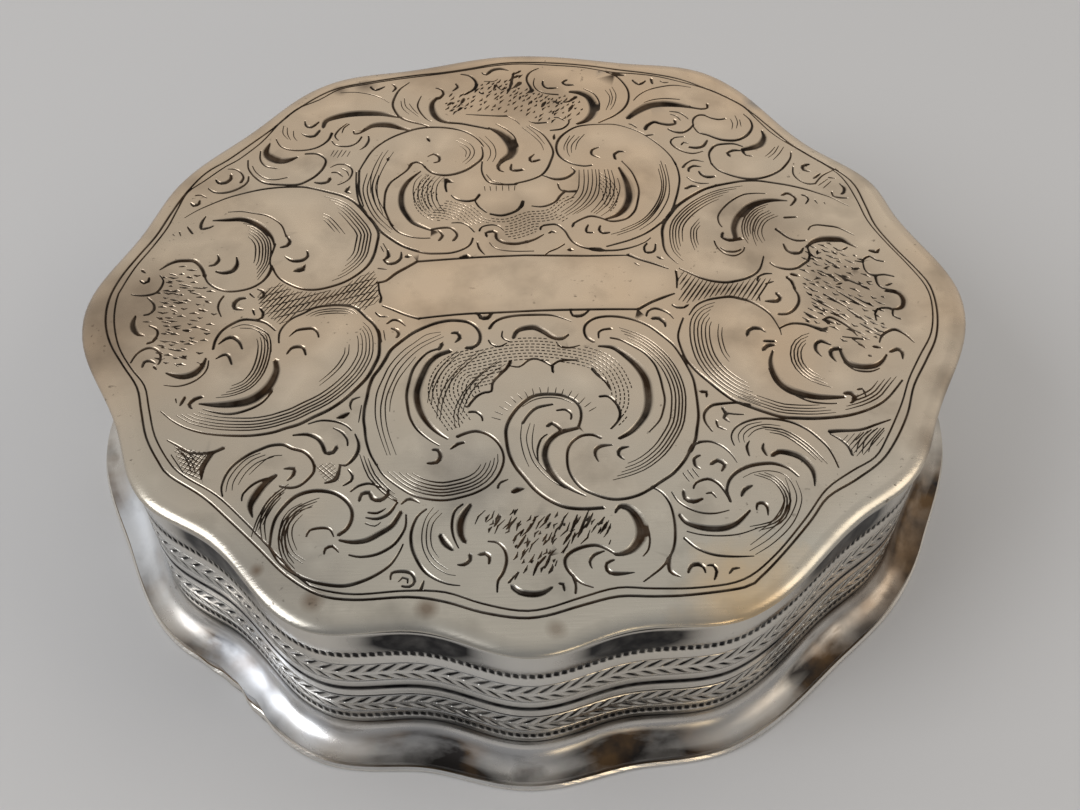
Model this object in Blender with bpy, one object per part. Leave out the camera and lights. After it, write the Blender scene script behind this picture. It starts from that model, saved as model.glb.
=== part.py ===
# Lobed oval peppermint box in sheet silver: an engraved lid plate on a banded wall, hinged at the back
# to a banded body that stands on a hollowed foot moulding. Metres, +Z up, the front towards -Y.
# The origin is under the middle of the box, on the plane that it stands on.
import math

import bmesh
import bpy

for old in list(bpy.data.objects):
    bpy.data.objects.remove(old, do_unlink=True)

# Lid outline over the lobe tips
LID_LENGTH = 0.05824
LID_WIDTH = 0.05360

# Heights of the pieces, from the table up
BASE_THICKNESS = 0.00050
COVE_HEIGHT = 0.00160
BODY_WALL_HEIGHT = 0.00405
LID_WALL_HEIGHT = 0.00600
PLATE_THICKNESS = 0.00065

# Sheet, seams and overhangs
SEAM_GAP = 0.00030
WALL_THICKNESS = 0.00050
PLATE_OVERHANG = 0.00030
PLATE_EDGE_RADIUS = 0.00040
FLANGE_REACH = 0.00180
FLANGE_STEP = 0.00035
FLANGE_EDGE_BEVEL = 0.00012

# How much shallower the hollows between the lobes are than the lid plate's, in the walls and at the foot
WALL_HOLLOW_FILL = 0.00020
FLANGE_HOLLOW_FILL = 0.00045

# Bezel, the thin upstand that the lid closes over
BEZEL_THICKNESS = 0.00040
BEZEL_RISE = 0.00180
BEZEL_DEPTH = 0.00300

# Hinge
HINGE_LENGTH = 0.01300
BARREL_RADIUS = 0.00100
PIN_RADIUS = 0.00042
PIN_CLEARANCE = 0.00008
PIN_HEAD_HEIGHT = 0.00015
BEARER_THICKNESS = 0.00060
BEARER_LIP_ANGLE = math.radians(52)
CUTTER_OVERRUN = 0.00500

KNUCKLE_NAMES = (
    "body_knuckle_left",
    "lid_knuckle_left",
    "body_knuckle_middle",
    "lid_knuckle_right",
    "body_knuckle_right",
)

# Twelve lobe tips and the hollows between them, anticlockwise from the back lobe, each as (x, y) shares
# of half the lid's length and width. The hand-raised lobes are a little uneven, and the back one is flat.
LOBE_SHARES = (
    (-0.017, 1.000), (-0.275, 0.940),
    (-0.522, 0.869), (-0.707, 0.642),
    (-0.845, 0.455), (-0.910, 0.257),
    (-1.000, -0.056), (-0.872, -0.388),
    (-0.790, -0.593), (-0.635, -0.713),
    (-0.446, -0.920), (-0.216, -0.935),
    (-0.014, -1.000), (0.179, -0.943),
    (0.412, -0.914), (0.649, -0.690),
    (0.786, -0.575), (0.865, -0.407),
    (1.000, -0.052), (0.907, 0.272),
    (0.865, 0.418), (0.728, 0.578),
    (0.522, 0.892), (0.275, 0.961),
)
HANDLE_SHARE = 0.36
STEPS_PER_SPAN = 4
ARC_STEPS = 6
BARREL_SIDES = 24

# Heights that the stack of pieces gives
moulding_bottom = BASE_THICKNESS + SEAM_GAP
moulding_top = moulding_bottom + COVE_HEIGHT
body_wall_bottom = moulding_top + SEAM_GAP
body_wall_top = body_wall_bottom + BODY_WALL_HEIGHT
lid_wall_bottom = body_wall_top + SEAM_GAP
lid_wall_top = lid_wall_bottom + LID_WALL_HEIGHT
plate_bottom = lid_wall_top + SEAM_GAP
plate_top = plate_bottom + PLATE_THICKNESS

# Offsets from the lid's outline, outwards positive
wall_outer = -PLATE_OVERHANG
wall_inner = wall_outer - WALL_THICKNESS
bezel_outer = wall_inner - SEAM_GAP
bezel_inner = bezel_outer - BEZEL_THICKNESS

# Hinge axis: level with the seam, with the barrel let in as far as the inside of the wall
hinge_z = body_wall_top + SEAM_GAP / 2
hinge_y = LID_WIDTH / 2 + wall_inner + BARREL_RADIUS
channel_radius = BARREL_RADIUS + SEAM_GAP
bearer_radius = channel_radius + BEARER_THICKNESS


def bezier(start, start_handle, end_handle, end, share):
    rest = 1 - share
    return tuple(
        rest**3 * a + 3 * rest**2 * share * b + 3 * rest * share**2 * c + share**3 * d
        for a, b, c, d in zip(start, start_handle, end_handle, end)
    )


def unit(vector):
    length = math.hypot(*vector)
    return vector[0] / length, vector[1] / length


def lobed_outline():
    """Points of the lid's edge: a Bezier span from each table point to the next, anticlockwise."""
    count = len(LOBE_SHARES)
    knots = [(x * LID_LENGTH / 2, y * LID_WIDTH / 2) for x, y in LOBE_SHARES]
    along = [
        unit((knots[(i + 1) % count][0] - knots[i - 1][0], knots[(i + 1) % count][1] - knots[i - 1][1]))
        for i in range(count)
    ]
    points = []
    for i, start in enumerate(knots):
        end = knots[(i + 1) % count]
        reach = HANDLE_SHARE * math.dist(start, end)
        leave = (start[0] + reach * along[i][0], start[1] + reach * along[i][1])
        arrive_along = along[(i + 1) % count]
        arrive = (end[0] - reach * arrive_along[0], end[1] - reach * arrive_along[1])
        points += [bezier(start, leave, arrive, end, step / STEPS_PER_SPAN) for step in range(STEPS_PER_SPAN)]
    return fitted(points)


def fitted(points):
    """The points centred and stretched to be exactly the lid's length and width."""
    low = [min(point[k] for point in points) for k in range(2)]
    high = [max(point[k] for point in points) for k in range(2)]
    size = (LID_LENGTH, LID_WIDTH)
    return [
        tuple(size[k] * ((point[k] - low[k]) / (high[k] - low[k]) - 1 / 2) for k in range(2))
        for point in points
    ]


OUTLINE = lobed_outline()


def outward(i):
    before = OUTLINE[i - 1]
    after = OUTLINE[(i + 1) % len(OUTLINE)]
    x, y = unit((after[0] - before[0], after[1] - before[1]))
    return y, -x


def hollowness(i):
    """0 at a lobe's tip and 1 at the bottom of a hollow, for the outline's point i."""
    return (1 - math.cos(math.pi * i / STEPS_PER_SPAN)) / 2


def outline_loop(offset, z, hollow_fill=0):
    """The lid's outline moved outwards by offset, and by hollow_fill more in the hollows, at height z."""
    loop = []
    for i, (x, y) in enumerate(OUTLINE):
        nx, ny = outward(i)
        reach = offset + hollow_fill * hollowness(i)
        loop.append((x + reach * nx, y + reach * ny, z))
    return loop


def back_edge_y(offset, x):
    """How far back a wall at this offset lies at x."""
    loop = outline_loop(offset, 0, WALL_HOLLOW_FILL)
    spans = zip(loop, loop[1:] + loop[:1])
    crossings = [
        a[1] + (b[1] - a[1]) * (x - a[0]) / (b[0] - a[0])
        for a, b in spans
        if (a[0] - x) * (b[0] - x) <= 0 and a[0] != b[0]
    ]
    return max(crossings)


def silver(name, colour, roughness):
    material = bpy.data.materials.new(name)
    material.use_nodes = True
    shader = material.node_tree.nodes["Principled BSDF"]
    shader.inputs["Base Color"].default_value = (*colour, 1)
    shader.inputs["Roughness"].default_value = roughness
    shader.inputs["Metallic"].default_value = 1
    return material


def skin(name, loops, material, ring=False):
    """A closed surface over loops of equally many points: a ring's last loop meets its first, and any
    other run of loops has a flat cap at each end."""
    mesh_maker = bmesh.new()
    rows = [[mesh_maker.verts.new(point) for point in loop] for loop in loops]
    pairs = list(zip(rows, rows[1:]))
    if ring:
        pairs.append((rows[-1], rows[0]))
    else:
        mesh_maker.faces.new(rows[0])
        mesh_maker.faces.new(rows[-1])
    for lower, upper in pairs:
        for i in range(len(lower)):
            mesh_maker.faces.new((lower[i - 1], lower[i], upper[i], upper[i - 1]))
    bmesh.ops.recalc_face_normals(mesh_maker, faces=mesh_maker.faces)
    mesh = bpy.data.meshes.new(name)
    mesh_maker.to_mesh(mesh)
    mesh_maker.free()
    mesh.shade_smooth()
    mesh.set_sharp_from_angle(angle=math.radians(35))
    mesh.materials.append(material)
    piece = bpy.data.objects.new(name, mesh)
    bpy.context.scene.collection.objects.link(piece)
    return piece


def outline_piece(name, profile, material, ring=False, hollow_fill=0):
    """A piece that follows the outline, from a profile of (offset, height) points."""
    return skin(name, [outline_loop(offset, z, hollow_fill) for offset, z in profile], material, ring)


def arc(centre, radius, start, end, steps=ARC_STEPS):
    """Points of an arc, with angles from the first axis towards the second."""
    angles = [start + (end - start) * step / steps for step in range(steps + 1)]
    return [(centre[0] + radius * math.cos(a), centre[1] + radius * math.sin(a)) for a in angles]


def place_on_axis(piece, carrier=None):
    """Sets a piece that is modelled round the hinge axis in its place, alone or on its carrier."""
    if carrier:
        piece.parent = carrier
    else:
        piece.location = (0, hinge_y, hinge_z)
    return piece


def hang_on(piece, carrier):
    """Parents a piece that is modelled in place, without moving it."""
    piece.parent = carrier
    piece.matrix_parent_inverse = carrier.matrix_world.inverted()


def cut(piece, cutter):
    boolean = piece.modifiers.new(cutter.name, "BOOLEAN")
    boolean.operation = "DIFFERENCE"
    boolean.solver = "EXACT"
    boolean.object = cutter


def as_cutter(helper):
    helper.hide_render = True
    helper.display_type = "WIRE"
    return helper


def make_plate(material):
    """The lid's top sheet, with its upper edge rolled over and its under edge just broken."""
    under_bevel = PLATE_EDGE_RADIUS / 4
    rolled = arc((-PLATE_EDGE_RADIUS, plate_top - PLATE_EDGE_RADIUS), PLATE_EDGE_RADIUS, 0, math.pi / 2, 4)
    profile = [(-under_bevel, plate_bottom), (0, plate_bottom + under_bevel), *rolled]
    return outline_piece("lid_plate", profile, material)


def make_wall(name, bottom, top, material):
    """A strip of band metal bent to the outline."""
    profile = [(wall_inner, bottom), (wall_outer, bottom), (wall_outer, top), (wall_inner, top)]
    return outline_piece(name, profile, material, ring=True, hollow_fill=WALL_HOLLOW_FILL)


def make_bezel(material):
    """The upstand inside the wall. Its top inner edge is eased so that the lid finds it."""
    top = body_wall_top + BEZEL_RISE
    bottom = body_wall_top - BEZEL_DEPTH
    ease = BEZEL_THICKNESS / 3
    profile = [
        (bezel_inner, bottom),
        (bezel_outer, bottom),
        (bezel_outer, top - ease),
        (bezel_outer - ease, top),
        (bezel_inner, top),
    ]
    return outline_piece("bezel", profile, material, ring=True, hollow_fill=WALL_HOLLOW_FILL)


def make_moulding(material):
    """The foot moulding: a quarter hollow from the wall down and out to the base flange."""
    foot_reach = FLANGE_REACH - FLANGE_STEP
    drop = COVE_HEIGHT - FLANGE_STEP / 2
    loops = [
        outline_loop(wall_inner, moulding_bottom, WALL_HOLLOW_FILL),
        outline_loop(wall_inner, moulding_top, WALL_HOLLOW_FILL),
    ]
    for step in range(ARC_STEPS + 1):
        angle = math.pi / 2 * step / ARC_STEPS
        spread = 1 - math.cos(angle)
        offset = wall_outer + (foot_reach - wall_outer) * spread
        hollow_fill = WALL_HOLLOW_FILL + (FLANGE_HOLLOW_FILL - WALL_HOLLOW_FILL) * spread
        loops.append(outline_loop(offset, moulding_top - drop * math.sin(angle), hollow_fill))
    loops.append(outline_loop(foot_reach, moulding_bottom, FLANGE_HOLLOW_FILL))
    return skin("base_moulding", loops, material, ring=True)


def make_base(material):
    bevel = FLANGE_EDGE_BEVEL
    profile = [
        (FLANGE_REACH - bevel, 0),
        (FLANGE_REACH, bevel),
        (FLANGE_REACH, BASE_THICKNESS - bevel),
        (FLANGE_REACH - bevel, BASE_THICKNESS),
    ]
    return outline_piece("base_plate", profile, material, hollow_fill=FLANGE_HOLLOW_FILL)


def circle(x, radius):
    angles = (2 * math.pi * side / BARREL_SIDES for side in range(BARREL_SIDES))
    return [(x, radius * math.cos(angle), radius * math.sin(angle)) for angle in angles]


def make_knuckle(index, material):
    """One length of hinge tube, between its neighbours on the pin."""
    count = len(KNUCKLE_NAMES)
    length = (HINGE_LENGTH - (count - 1) * SEAM_GAP) / count
    left = -HINGE_LENGTH / 2 + index * (length + SEAM_GAP)
    right = left + length
    bore = PIN_RADIUS + PIN_CLEARANCE
    loops = [circle(left, BARREL_RADIUS), circle(right, BARREL_RADIUS), circle(right, bore), circle(left, bore)]
    return skin(KNUCKLE_NAMES[index], loops, material, ring=True)


def make_pin(material):
    """The hinge pin, with each end lightly domed by the hammer just past the last knuckle."""
    half = HINGE_LENGTH / 2
    stations = (
        (-half - PIN_HEAD_HEIGHT, PIN_RADIUS / 2),
        (-half, PIN_RADIUS),
        (half, PIN_RADIUS),
        (half + PIN_HEAD_HEIGHT, PIN_RADIUS / 2),
    )
    return skin("hinge_pin", [circle(x, radius) for x, radius in stations], material)


def make_bearer(name, side, material):
    """The bed that a row of knuckles is soldered in: a channel round the barrel that runs in to the wall.
    side is 1 above the seam and -1 below. Its lip stops the lid, a little past its open angle."""
    half = HINGE_LENGTH / 2
    wall_side = min(back_edge_y(wall_outer, -half), back_edge_y(wall_outer, half)) - hinge_y
    inner_end = math.radians(160)
    inner = arc((0, 0), channel_radius, inner_end, BEARER_LIP_ANGLE)
    outer = arc((0, 0), bearer_radius, BEARER_LIP_ANGLE, math.pi / 2, 3)
    step_z = channel_radius * math.sin(inner_end)
    section = [(wall_side, step_z), *inner, *outer, (wall_side, bearer_radius)]
    loops = [[(x, y, side * z) for y, z in section] for x in (-half, half)]
    return skin(name, loops, material)


lid_silver = silver("lid_silver", (0.74, 0.68, 0.58), 0.28)
band_silver = silver("band_silver", (0.66, 0.63, 0.58), 0.30)
cove_silver = silver("cove_silver", (0.44, 0.37, 0.29), 0.38)
inner_silver = silver("inner_silver", (0.78, 0.76, 0.72), 0.32)
hinge_silver = silver("hinge_silver", (0.60, 0.56, 0.50), 0.36)

lid_carrier = bpy.data.objects.new("lid_hinge_axis", None)
lid_carrier.location = (0, hinge_y, hinge_z)
bpy.context.scene.collection.objects.link(lid_carrier)
bpy.context.view_layer.update()

lid_plate = make_plate(lid_silver)
lid_wall = make_wall("lid_wall", lid_wall_bottom, lid_wall_top, band_silver)
body_wall = make_wall("body_wall", body_wall_bottom, body_wall_top, band_silver)
make_bezel(inner_silver)
make_moulding(cove_silver)
make_base(cove_silver)
for lid_piece in (lid_plate, lid_wall):
    hang_on(lid_piece, lid_carrier)

barrel_cutter = skin(
    "barrel_cutter",
    [
        circle(-HINGE_LENGTH / 2 - SEAM_GAP, channel_radius),
        circle(HINGE_LENGTH / 2 + SEAM_GAP, channel_radius),
    ],
    hinge_silver,
)
place_on_axis(as_cutter(barrel_cutter))
cut(lid_wall, barrel_cutter)
cut(body_wall, barrel_cutter)

wall_cutter = outline_piece(
    "wall_cutter",
    [(wall_outer + SEAM_GAP, -CUTTER_OVERRUN), (wall_outer + SEAM_GAP, plate_top + CUTTER_OVERRUN)],
    hinge_silver,
    hollow_fill=WALL_HOLLOW_FILL,
)
as_cutter(wall_cutter)
lid_bearer = place_on_axis(make_bearer("lid_hinge_bearer", 1, hinge_silver), lid_carrier)
body_bearer = place_on_axis(make_bearer("body_hinge_bearer", -1, hinge_silver))
cut(lid_bearer, wall_cutter)
cut(body_bearer, wall_cutter)

for index, knuckle_name in enumerate(KNUCKLE_NAMES):
    knuckle = make_knuckle(index, hinge_silver)
    place_on_axis(knuckle, lid_carrier if knuckle_name.startswith("lid") else None)
place_on_axis(make_pin(hinge_silver))
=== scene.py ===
"""The looks of a small lobed silver mint box: an engraved lid, two banded walls and a hollow foot moulding.

Lengths are written in millimetres and become metres where a mesh is made.
"""

import math

import bmesh
import bpy
import numpy as np
from mathutils import Matrix, Vector
from mathutils.geometry import delaunay_2d_cdt


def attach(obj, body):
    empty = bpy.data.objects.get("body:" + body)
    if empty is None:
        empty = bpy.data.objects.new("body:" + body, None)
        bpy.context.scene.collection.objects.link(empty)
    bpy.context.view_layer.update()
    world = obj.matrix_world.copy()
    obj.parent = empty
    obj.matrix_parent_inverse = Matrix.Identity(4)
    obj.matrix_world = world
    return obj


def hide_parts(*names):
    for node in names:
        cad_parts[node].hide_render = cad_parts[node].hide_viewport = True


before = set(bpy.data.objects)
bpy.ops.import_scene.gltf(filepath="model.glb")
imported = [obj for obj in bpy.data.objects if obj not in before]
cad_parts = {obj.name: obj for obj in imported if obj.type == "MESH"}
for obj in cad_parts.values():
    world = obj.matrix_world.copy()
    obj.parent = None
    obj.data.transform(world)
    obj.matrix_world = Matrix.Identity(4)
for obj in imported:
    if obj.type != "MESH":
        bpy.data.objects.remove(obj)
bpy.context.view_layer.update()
bpy.ops.object.select_all(action="DESELECT")

# Camera
# The box is seen from above its front at about fifty degrees, a hand's width away, and a
# hair from straight on. The camera is set by the point that it looks at and the way back.

MM = 0.001
VIEW_TARGET = Vector((0.59, -9.70, 14.0))
VIEW_DISTANCE = 77.125
VIEW_AZIMUTH = -0.0389150
VIEW_ELEVATION = 0.8854491
VIEW_ROLL = 0.0116891
SENSOR_WIDTH = 36.0
LENS_LENGTH = 41.67
NEAREST_SEEN = 0.001
FARTHEST_SEEN = 20

back = Vector(
    (
        math.sin(VIEW_AZIMUTH) * math.cos(VIEW_ELEVATION),
        -math.cos(VIEW_AZIMUTH) * math.cos(VIEW_ELEVATION),
        math.sin(VIEW_ELEVATION),
    )
)
level_right = (-back).cross(Vector((0, 0, 1))).normalized()
level_up = level_right.cross(-back)
right = math.cos(VIEW_ROLL) * level_right + math.sin(VIEW_ROLL) * level_up
up = math.cos(VIEW_ROLL) * level_up - math.sin(VIEW_ROLL) * level_right

camera_data = bpy.data.cameras.new("camera")
camera_data.sensor_width = SENSOR_WIDTH
camera_data.lens = LENS_LENGTH
camera_data.clip_start = NEAREST_SEEN
camera_data.clip_end = FARTHEST_SEEN
camera = bpy.data.objects.new("camera", camera_data)
bpy.context.scene.collection.objects.link(camera)
turn = Matrix((right, up, back)).transposed().to_4x4()
camera.matrix_world = Matrix.Translation((VIEW_TARGET + VIEW_DISTANCE * back) * MM) @ turn
bpy.context.scene.camera = camera
bpy.context.scene.view_settings.view_transform = "Standard"

# Floor and light
# A plain pale floor, a pale room, and four soft panels: a broad one high behind the box for
# the lid to mirror, the main one on the left, a warm one on the right and a small warm one
# low in front.

FLOOR_SIZE = 3.0
FLOOR_COLOUR = (0.60, 0.60, 0.605, 1)
FLOOR_ROUGHNESS = 0.75
FLOOR_GLOSS = 0.3
ROOM_BEHIND = (0.66, 0.64, 0.615, 1)
ROOM_BEFORE = (0.33, 0.335, 0.35, 1)
ROOM_FADE = (-0.85, 0.55)


def node_tree(material):
    material.use_nodes = True
    tree = material.node_tree
    return tree, tree.nodes["Principled BSDF"]


bpy.ops.mesh.primitive_plane_add(size=FLOOR_SIZE)
floor = bpy.context.object
floor.name = "floor"
floor_material = bpy.data.materials.new("floor")
tree, shader = node_tree(floor_material)
shader.inputs["Base Color"].default_value = FLOOR_COLOUR
shader.inputs["Roughness"].default_value = FLOOR_ROUGHNESS
shader.inputs["Specular IOR Level"].default_value = FLOOR_GLOSS
floor.data.materials.append(floor_material)

# The room is brightest behind the box and falls off softly towards its front.
room = bpy.data.worlds.new("room")
room.use_nodes = True
sky = room.node_tree
heading = sky.nodes.new("ShaderNodeTexCoord")
split = sky.nodes.new("ShaderNodeSeparateXYZ")
falloff = sky.nodes.new("ShaderNodeMapRange")
falloff.interpolation_type = "SMOOTHSTEP"
falloff.inputs["From Min"].default_value, falloff.inputs["From Max"].default_value = ROOM_FADE
tone = sky.nodes.new("ShaderNodeMix")
tone.data_type = "RGBA"
tone.inputs[6].default_value = ROOM_BEFORE
tone.inputs[7].default_value = ROOM_BEHIND
sky.links.new(heading.outputs["Generated"], split.inputs["Vector"])
sky.links.new(split.outputs["Y"], falloff.inputs["Value"])
sky.links.new(falloff.outputs["Result"], tone.inputs["Factor"])
sky.links.new(tone.outputs[2], sky.nodes["Background"].inputs["Color"])
bpy.context.scene.world = room


PANEL_AIM = Vector((0, 0, 8))


def panel(name, place, size, power, colour):
    """A square soft light at a place in millimetres, turned towards the middle of the box."""
    lamp = bpy.data.lights.new(name, "AREA")
    lamp.size = size * MM
    lamp.energy = power
    lamp.color = colour
    holder = bpy.data.objects.new(name, lamp)
    bpy.context.scene.collection.objects.link(holder)
    holder.location = Vector(place) * MM
    holder.rotation_mode = "QUATERNION"
    holder.rotation_quaternion = (Vector(place) - PANEL_AIM).to_track_quat("Z", "Y")


panel("panel_back", (60, 420, 420), 420, 0.10, (1.0, 0.96, 0.90))
panel("panel_left", (-340, -120, 300), 240, 0.75, (0.97, 0.98, 1.0))
panel("panel_right", (360, -40, 300), 220, 0.26, (1.0, 0.90, 0.76))
panel("panel_front", (150, -330, 160), 90, 0.06, (1.0, 0.80, 0.52))

# Engraved lid plate
# The lid's top is one sheet of sterling silver, sawn to a lobed outline and rolled over at
# its edge. Scrolls, shells and a bare cartouche are cut into it with a graver: each stroke
# is a V-shaped groove that swells and tapers, and old tarnish has stayed in the cuts.

LID_LENGTH = 58.24
LID_WIDTH = 53.60
PLATE_TOP = 14.0
PLATE_BOTTOM = 13.35
MARGIN_FALL = 0.95
SPAN_STEPS = 12
HANDLE_SHARE = 0.36
# Each lobe's tip and the hollow after it, as shares of the half length and half width,
# anticlockwise from the back.
LOBE_SHARES = (
    (-0.017, 1.000),
    (-0.275, 0.940),
    (-0.522, 0.869),
    (-0.707, 0.642),
    (-0.845, 0.455),
    (-0.910, 0.257),
    (-1.000, -0.056),
    (-0.872, -0.388),
    (-0.790, -0.593),
    (-0.635, -0.713),
    (-0.446, -0.920),
    (-0.216, -0.935),
    (-0.014, -1.000),
    (0.179, -0.943),
    (0.412, -0.914),
    (0.649, -0.690),
    (0.786, -0.575),
    (0.865, -0.407),
    (1.000, -0.052),
    (0.907, 0.272),
    (0.865, 0.418),
    (0.728, 0.578),
    (0.522, 0.892),
    (0.275, 0.961),
)


def lobed_outline():
    """The lid's outline as one smooth closed curve through the lobes' tips and hollows."""
    knots = np.array(LOBE_SHARES) * (LID_LENGTH / 2, LID_WIDTH / 2)
    tangents = np.roll(knots, -1, 0) - np.roll(knots, 1, 0)
    tangents /= np.linalg.norm(tangents, axis=1)[:, None]
    points = []
    for k, start in enumerate(knots):
        after = (k + 1) % len(knots)
        end = knots[after]
        reach = HANDLE_SHARE * np.linalg.norm(end - start)
        leave = start + reach * tangents[k]
        arrive = end - reach * tangents[after]
        for step in range(SPAN_STEPS):
            t = step / SPAN_STEPS
            points.append(
                (1 - t) ** 3 * start
                + 3 * (1 - t) ** 2 * t * leave
                + 3 * (1 - t) * t**2 * arrive
                + t**3 * end
            )
    points = np.array(points)
    low, high = points.min(0), points.max(0)
    return (LID_LENGTH, LID_WIDTH) * ((points - low) / (high - low) - 0.5)


OUTLINE = lobed_outline()
along = np.roll(OUTLINE, -1, 0) - np.roll(OUTLINE, 1, 0)
along /= np.linalg.norm(along, axis=1)[:, None]
OUTWARD = np.column_stack((along[:, 1], -along[:, 0]))
HOLLOWNESS = (1 - np.cos(math.pi * np.arange(len(OUTLINE)) / SPAN_STEPS)) / 2


def outline_loop(offset, hollow_fill=0.0):
    """The outline moved outwards by offset, and by hollow_fill more in the hollows."""
    return OUTLINE + (offset + hollow_fill * HOLLOWNESS)[:, None] * OUTWARD


# The two lines of the lid's border: the points that each runs through, in millimetres.
# fmt: off
OUTER_BORDER = (
    (0,25.5),(-2,25.3),(-4,24.75),(-6,24.3),(-8,23.98),(-10,23.6),(-12,23.1),(-14,22.5),(-15.67,21.55),
    (-17.67,20),(-18.33,19),(-18.83,18),(-19.95,16),(-21.6,14),(-22.67,13),(-23.44,11.83),(-24.56,10),
    (-25.06,8),(-25.67,6),(-26.42,4),(-27.22,2),(-27.58,0),(-27.44,-2),(-26.78,-3.89),(-25.67,-5.78),
    (-24.44,-7.67),(-23.87,-9.6),(-23.22,-11.67),(-22.22,-13.44),(-21.33,-14.56),(-19.22,-16.11),(-17.44,
    -17.78),(-15.67,-19.67),(-13.89,-21.5),(-12,-22.78),(-10,-23.22),(-7,-23.11),(-5,-23.44),(-3,-24.17),
    (-1,-24.53),(.5,-24.44),(2.5,-23.83),(4.5,-23.36),(6.5,-23.42),(8.5,-23.36),(11.5,-22.94),(12.5,-22.28),
    (14,-20.78),(15.89,-18.67),(17.22,-17),(19,-15.83),(20.78,-14.5),(22,-13),(23.22,-10.89),(24.11,-8.67),
    (25.33,-6.56),(26.44,-4.56),(27.06,-2.22),(27.11,0),(26.56,1.61),(25.44,3.83),(24.61,6.06),(24.28,8.17),
    (23.94,10.28),(23.22,11.83),(21.89,13.78),(20.22,15.44),(18.78,17.22),(17.6,19.1),(16.22,20.56),(14,
    22.22),(12.28,23.22),(10.06,23.89),(7.94,24.33),(5.5,24.94),(2.83,25.33),
)
INNER_BORDER = (
    (9,23.85),(7.2,24.1),(5,24.75),(2.5,25.1),(0,25.3),(-2,25.1),(-4,24.6),(-6,24.15),(-8,23.8),(-10,23.4),
    (-12,22.9),(-14,22.3),(-15.5,21),(-17,20),(-17.83,19),(-18.33,18),(-19.33,16),(-20.83,14),(-21.67,
    13.28),(-23,11.7),(-24,10.5),(-24.44,8.72),(-24.83,6.83),(-25.56,4.94),(-26.42,2.94),(-26.94,1),(-27.11,
    0),(-26.89,-2),(-26.22,-4.22),(-25.11,-6.06),(-24,-7.56),(-23.39,-9.44),(-22.72,-11.56),(-21.56,-13.5),
    (-20.56,-14.56),(-18.44,-16),(-16.67,-17.78),(-15,-19.67),(-13,-21.78),(-12,-22.44),(-10,-22.83),(-7.22,
    -22.72),(-5,-22.83),(-3,-23.61),(-1,-24.09),(.5,-24.02),(2.5,-23.33),(4.5,-22.78),(6.5,-22.92),(9.06,
    -22.91),(11.5,-22.44),(13.5,-20.89),(15.67,-18.44),(17.22,-16.44),(18.89,-15.22),(20.56,-14.17),(21.67,
    -12.56),(23,-10.11),(23.89,-8.11),(25,-6.22),(26.22,-4.22),(26.78,-1.89),(26.78,0),(26.06,2.06),(24.94,
    4.39),(24.17,6.5),(23.78,8.72),(23.33,10.72),(22.6,12.1),(20.67,14.22),(18.89,16.22),(17.78,18.22),
    (17.1,19.5),(15.8,20.8),(14.3,21.9),(12,23),(10.5,23.55),
)
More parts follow.
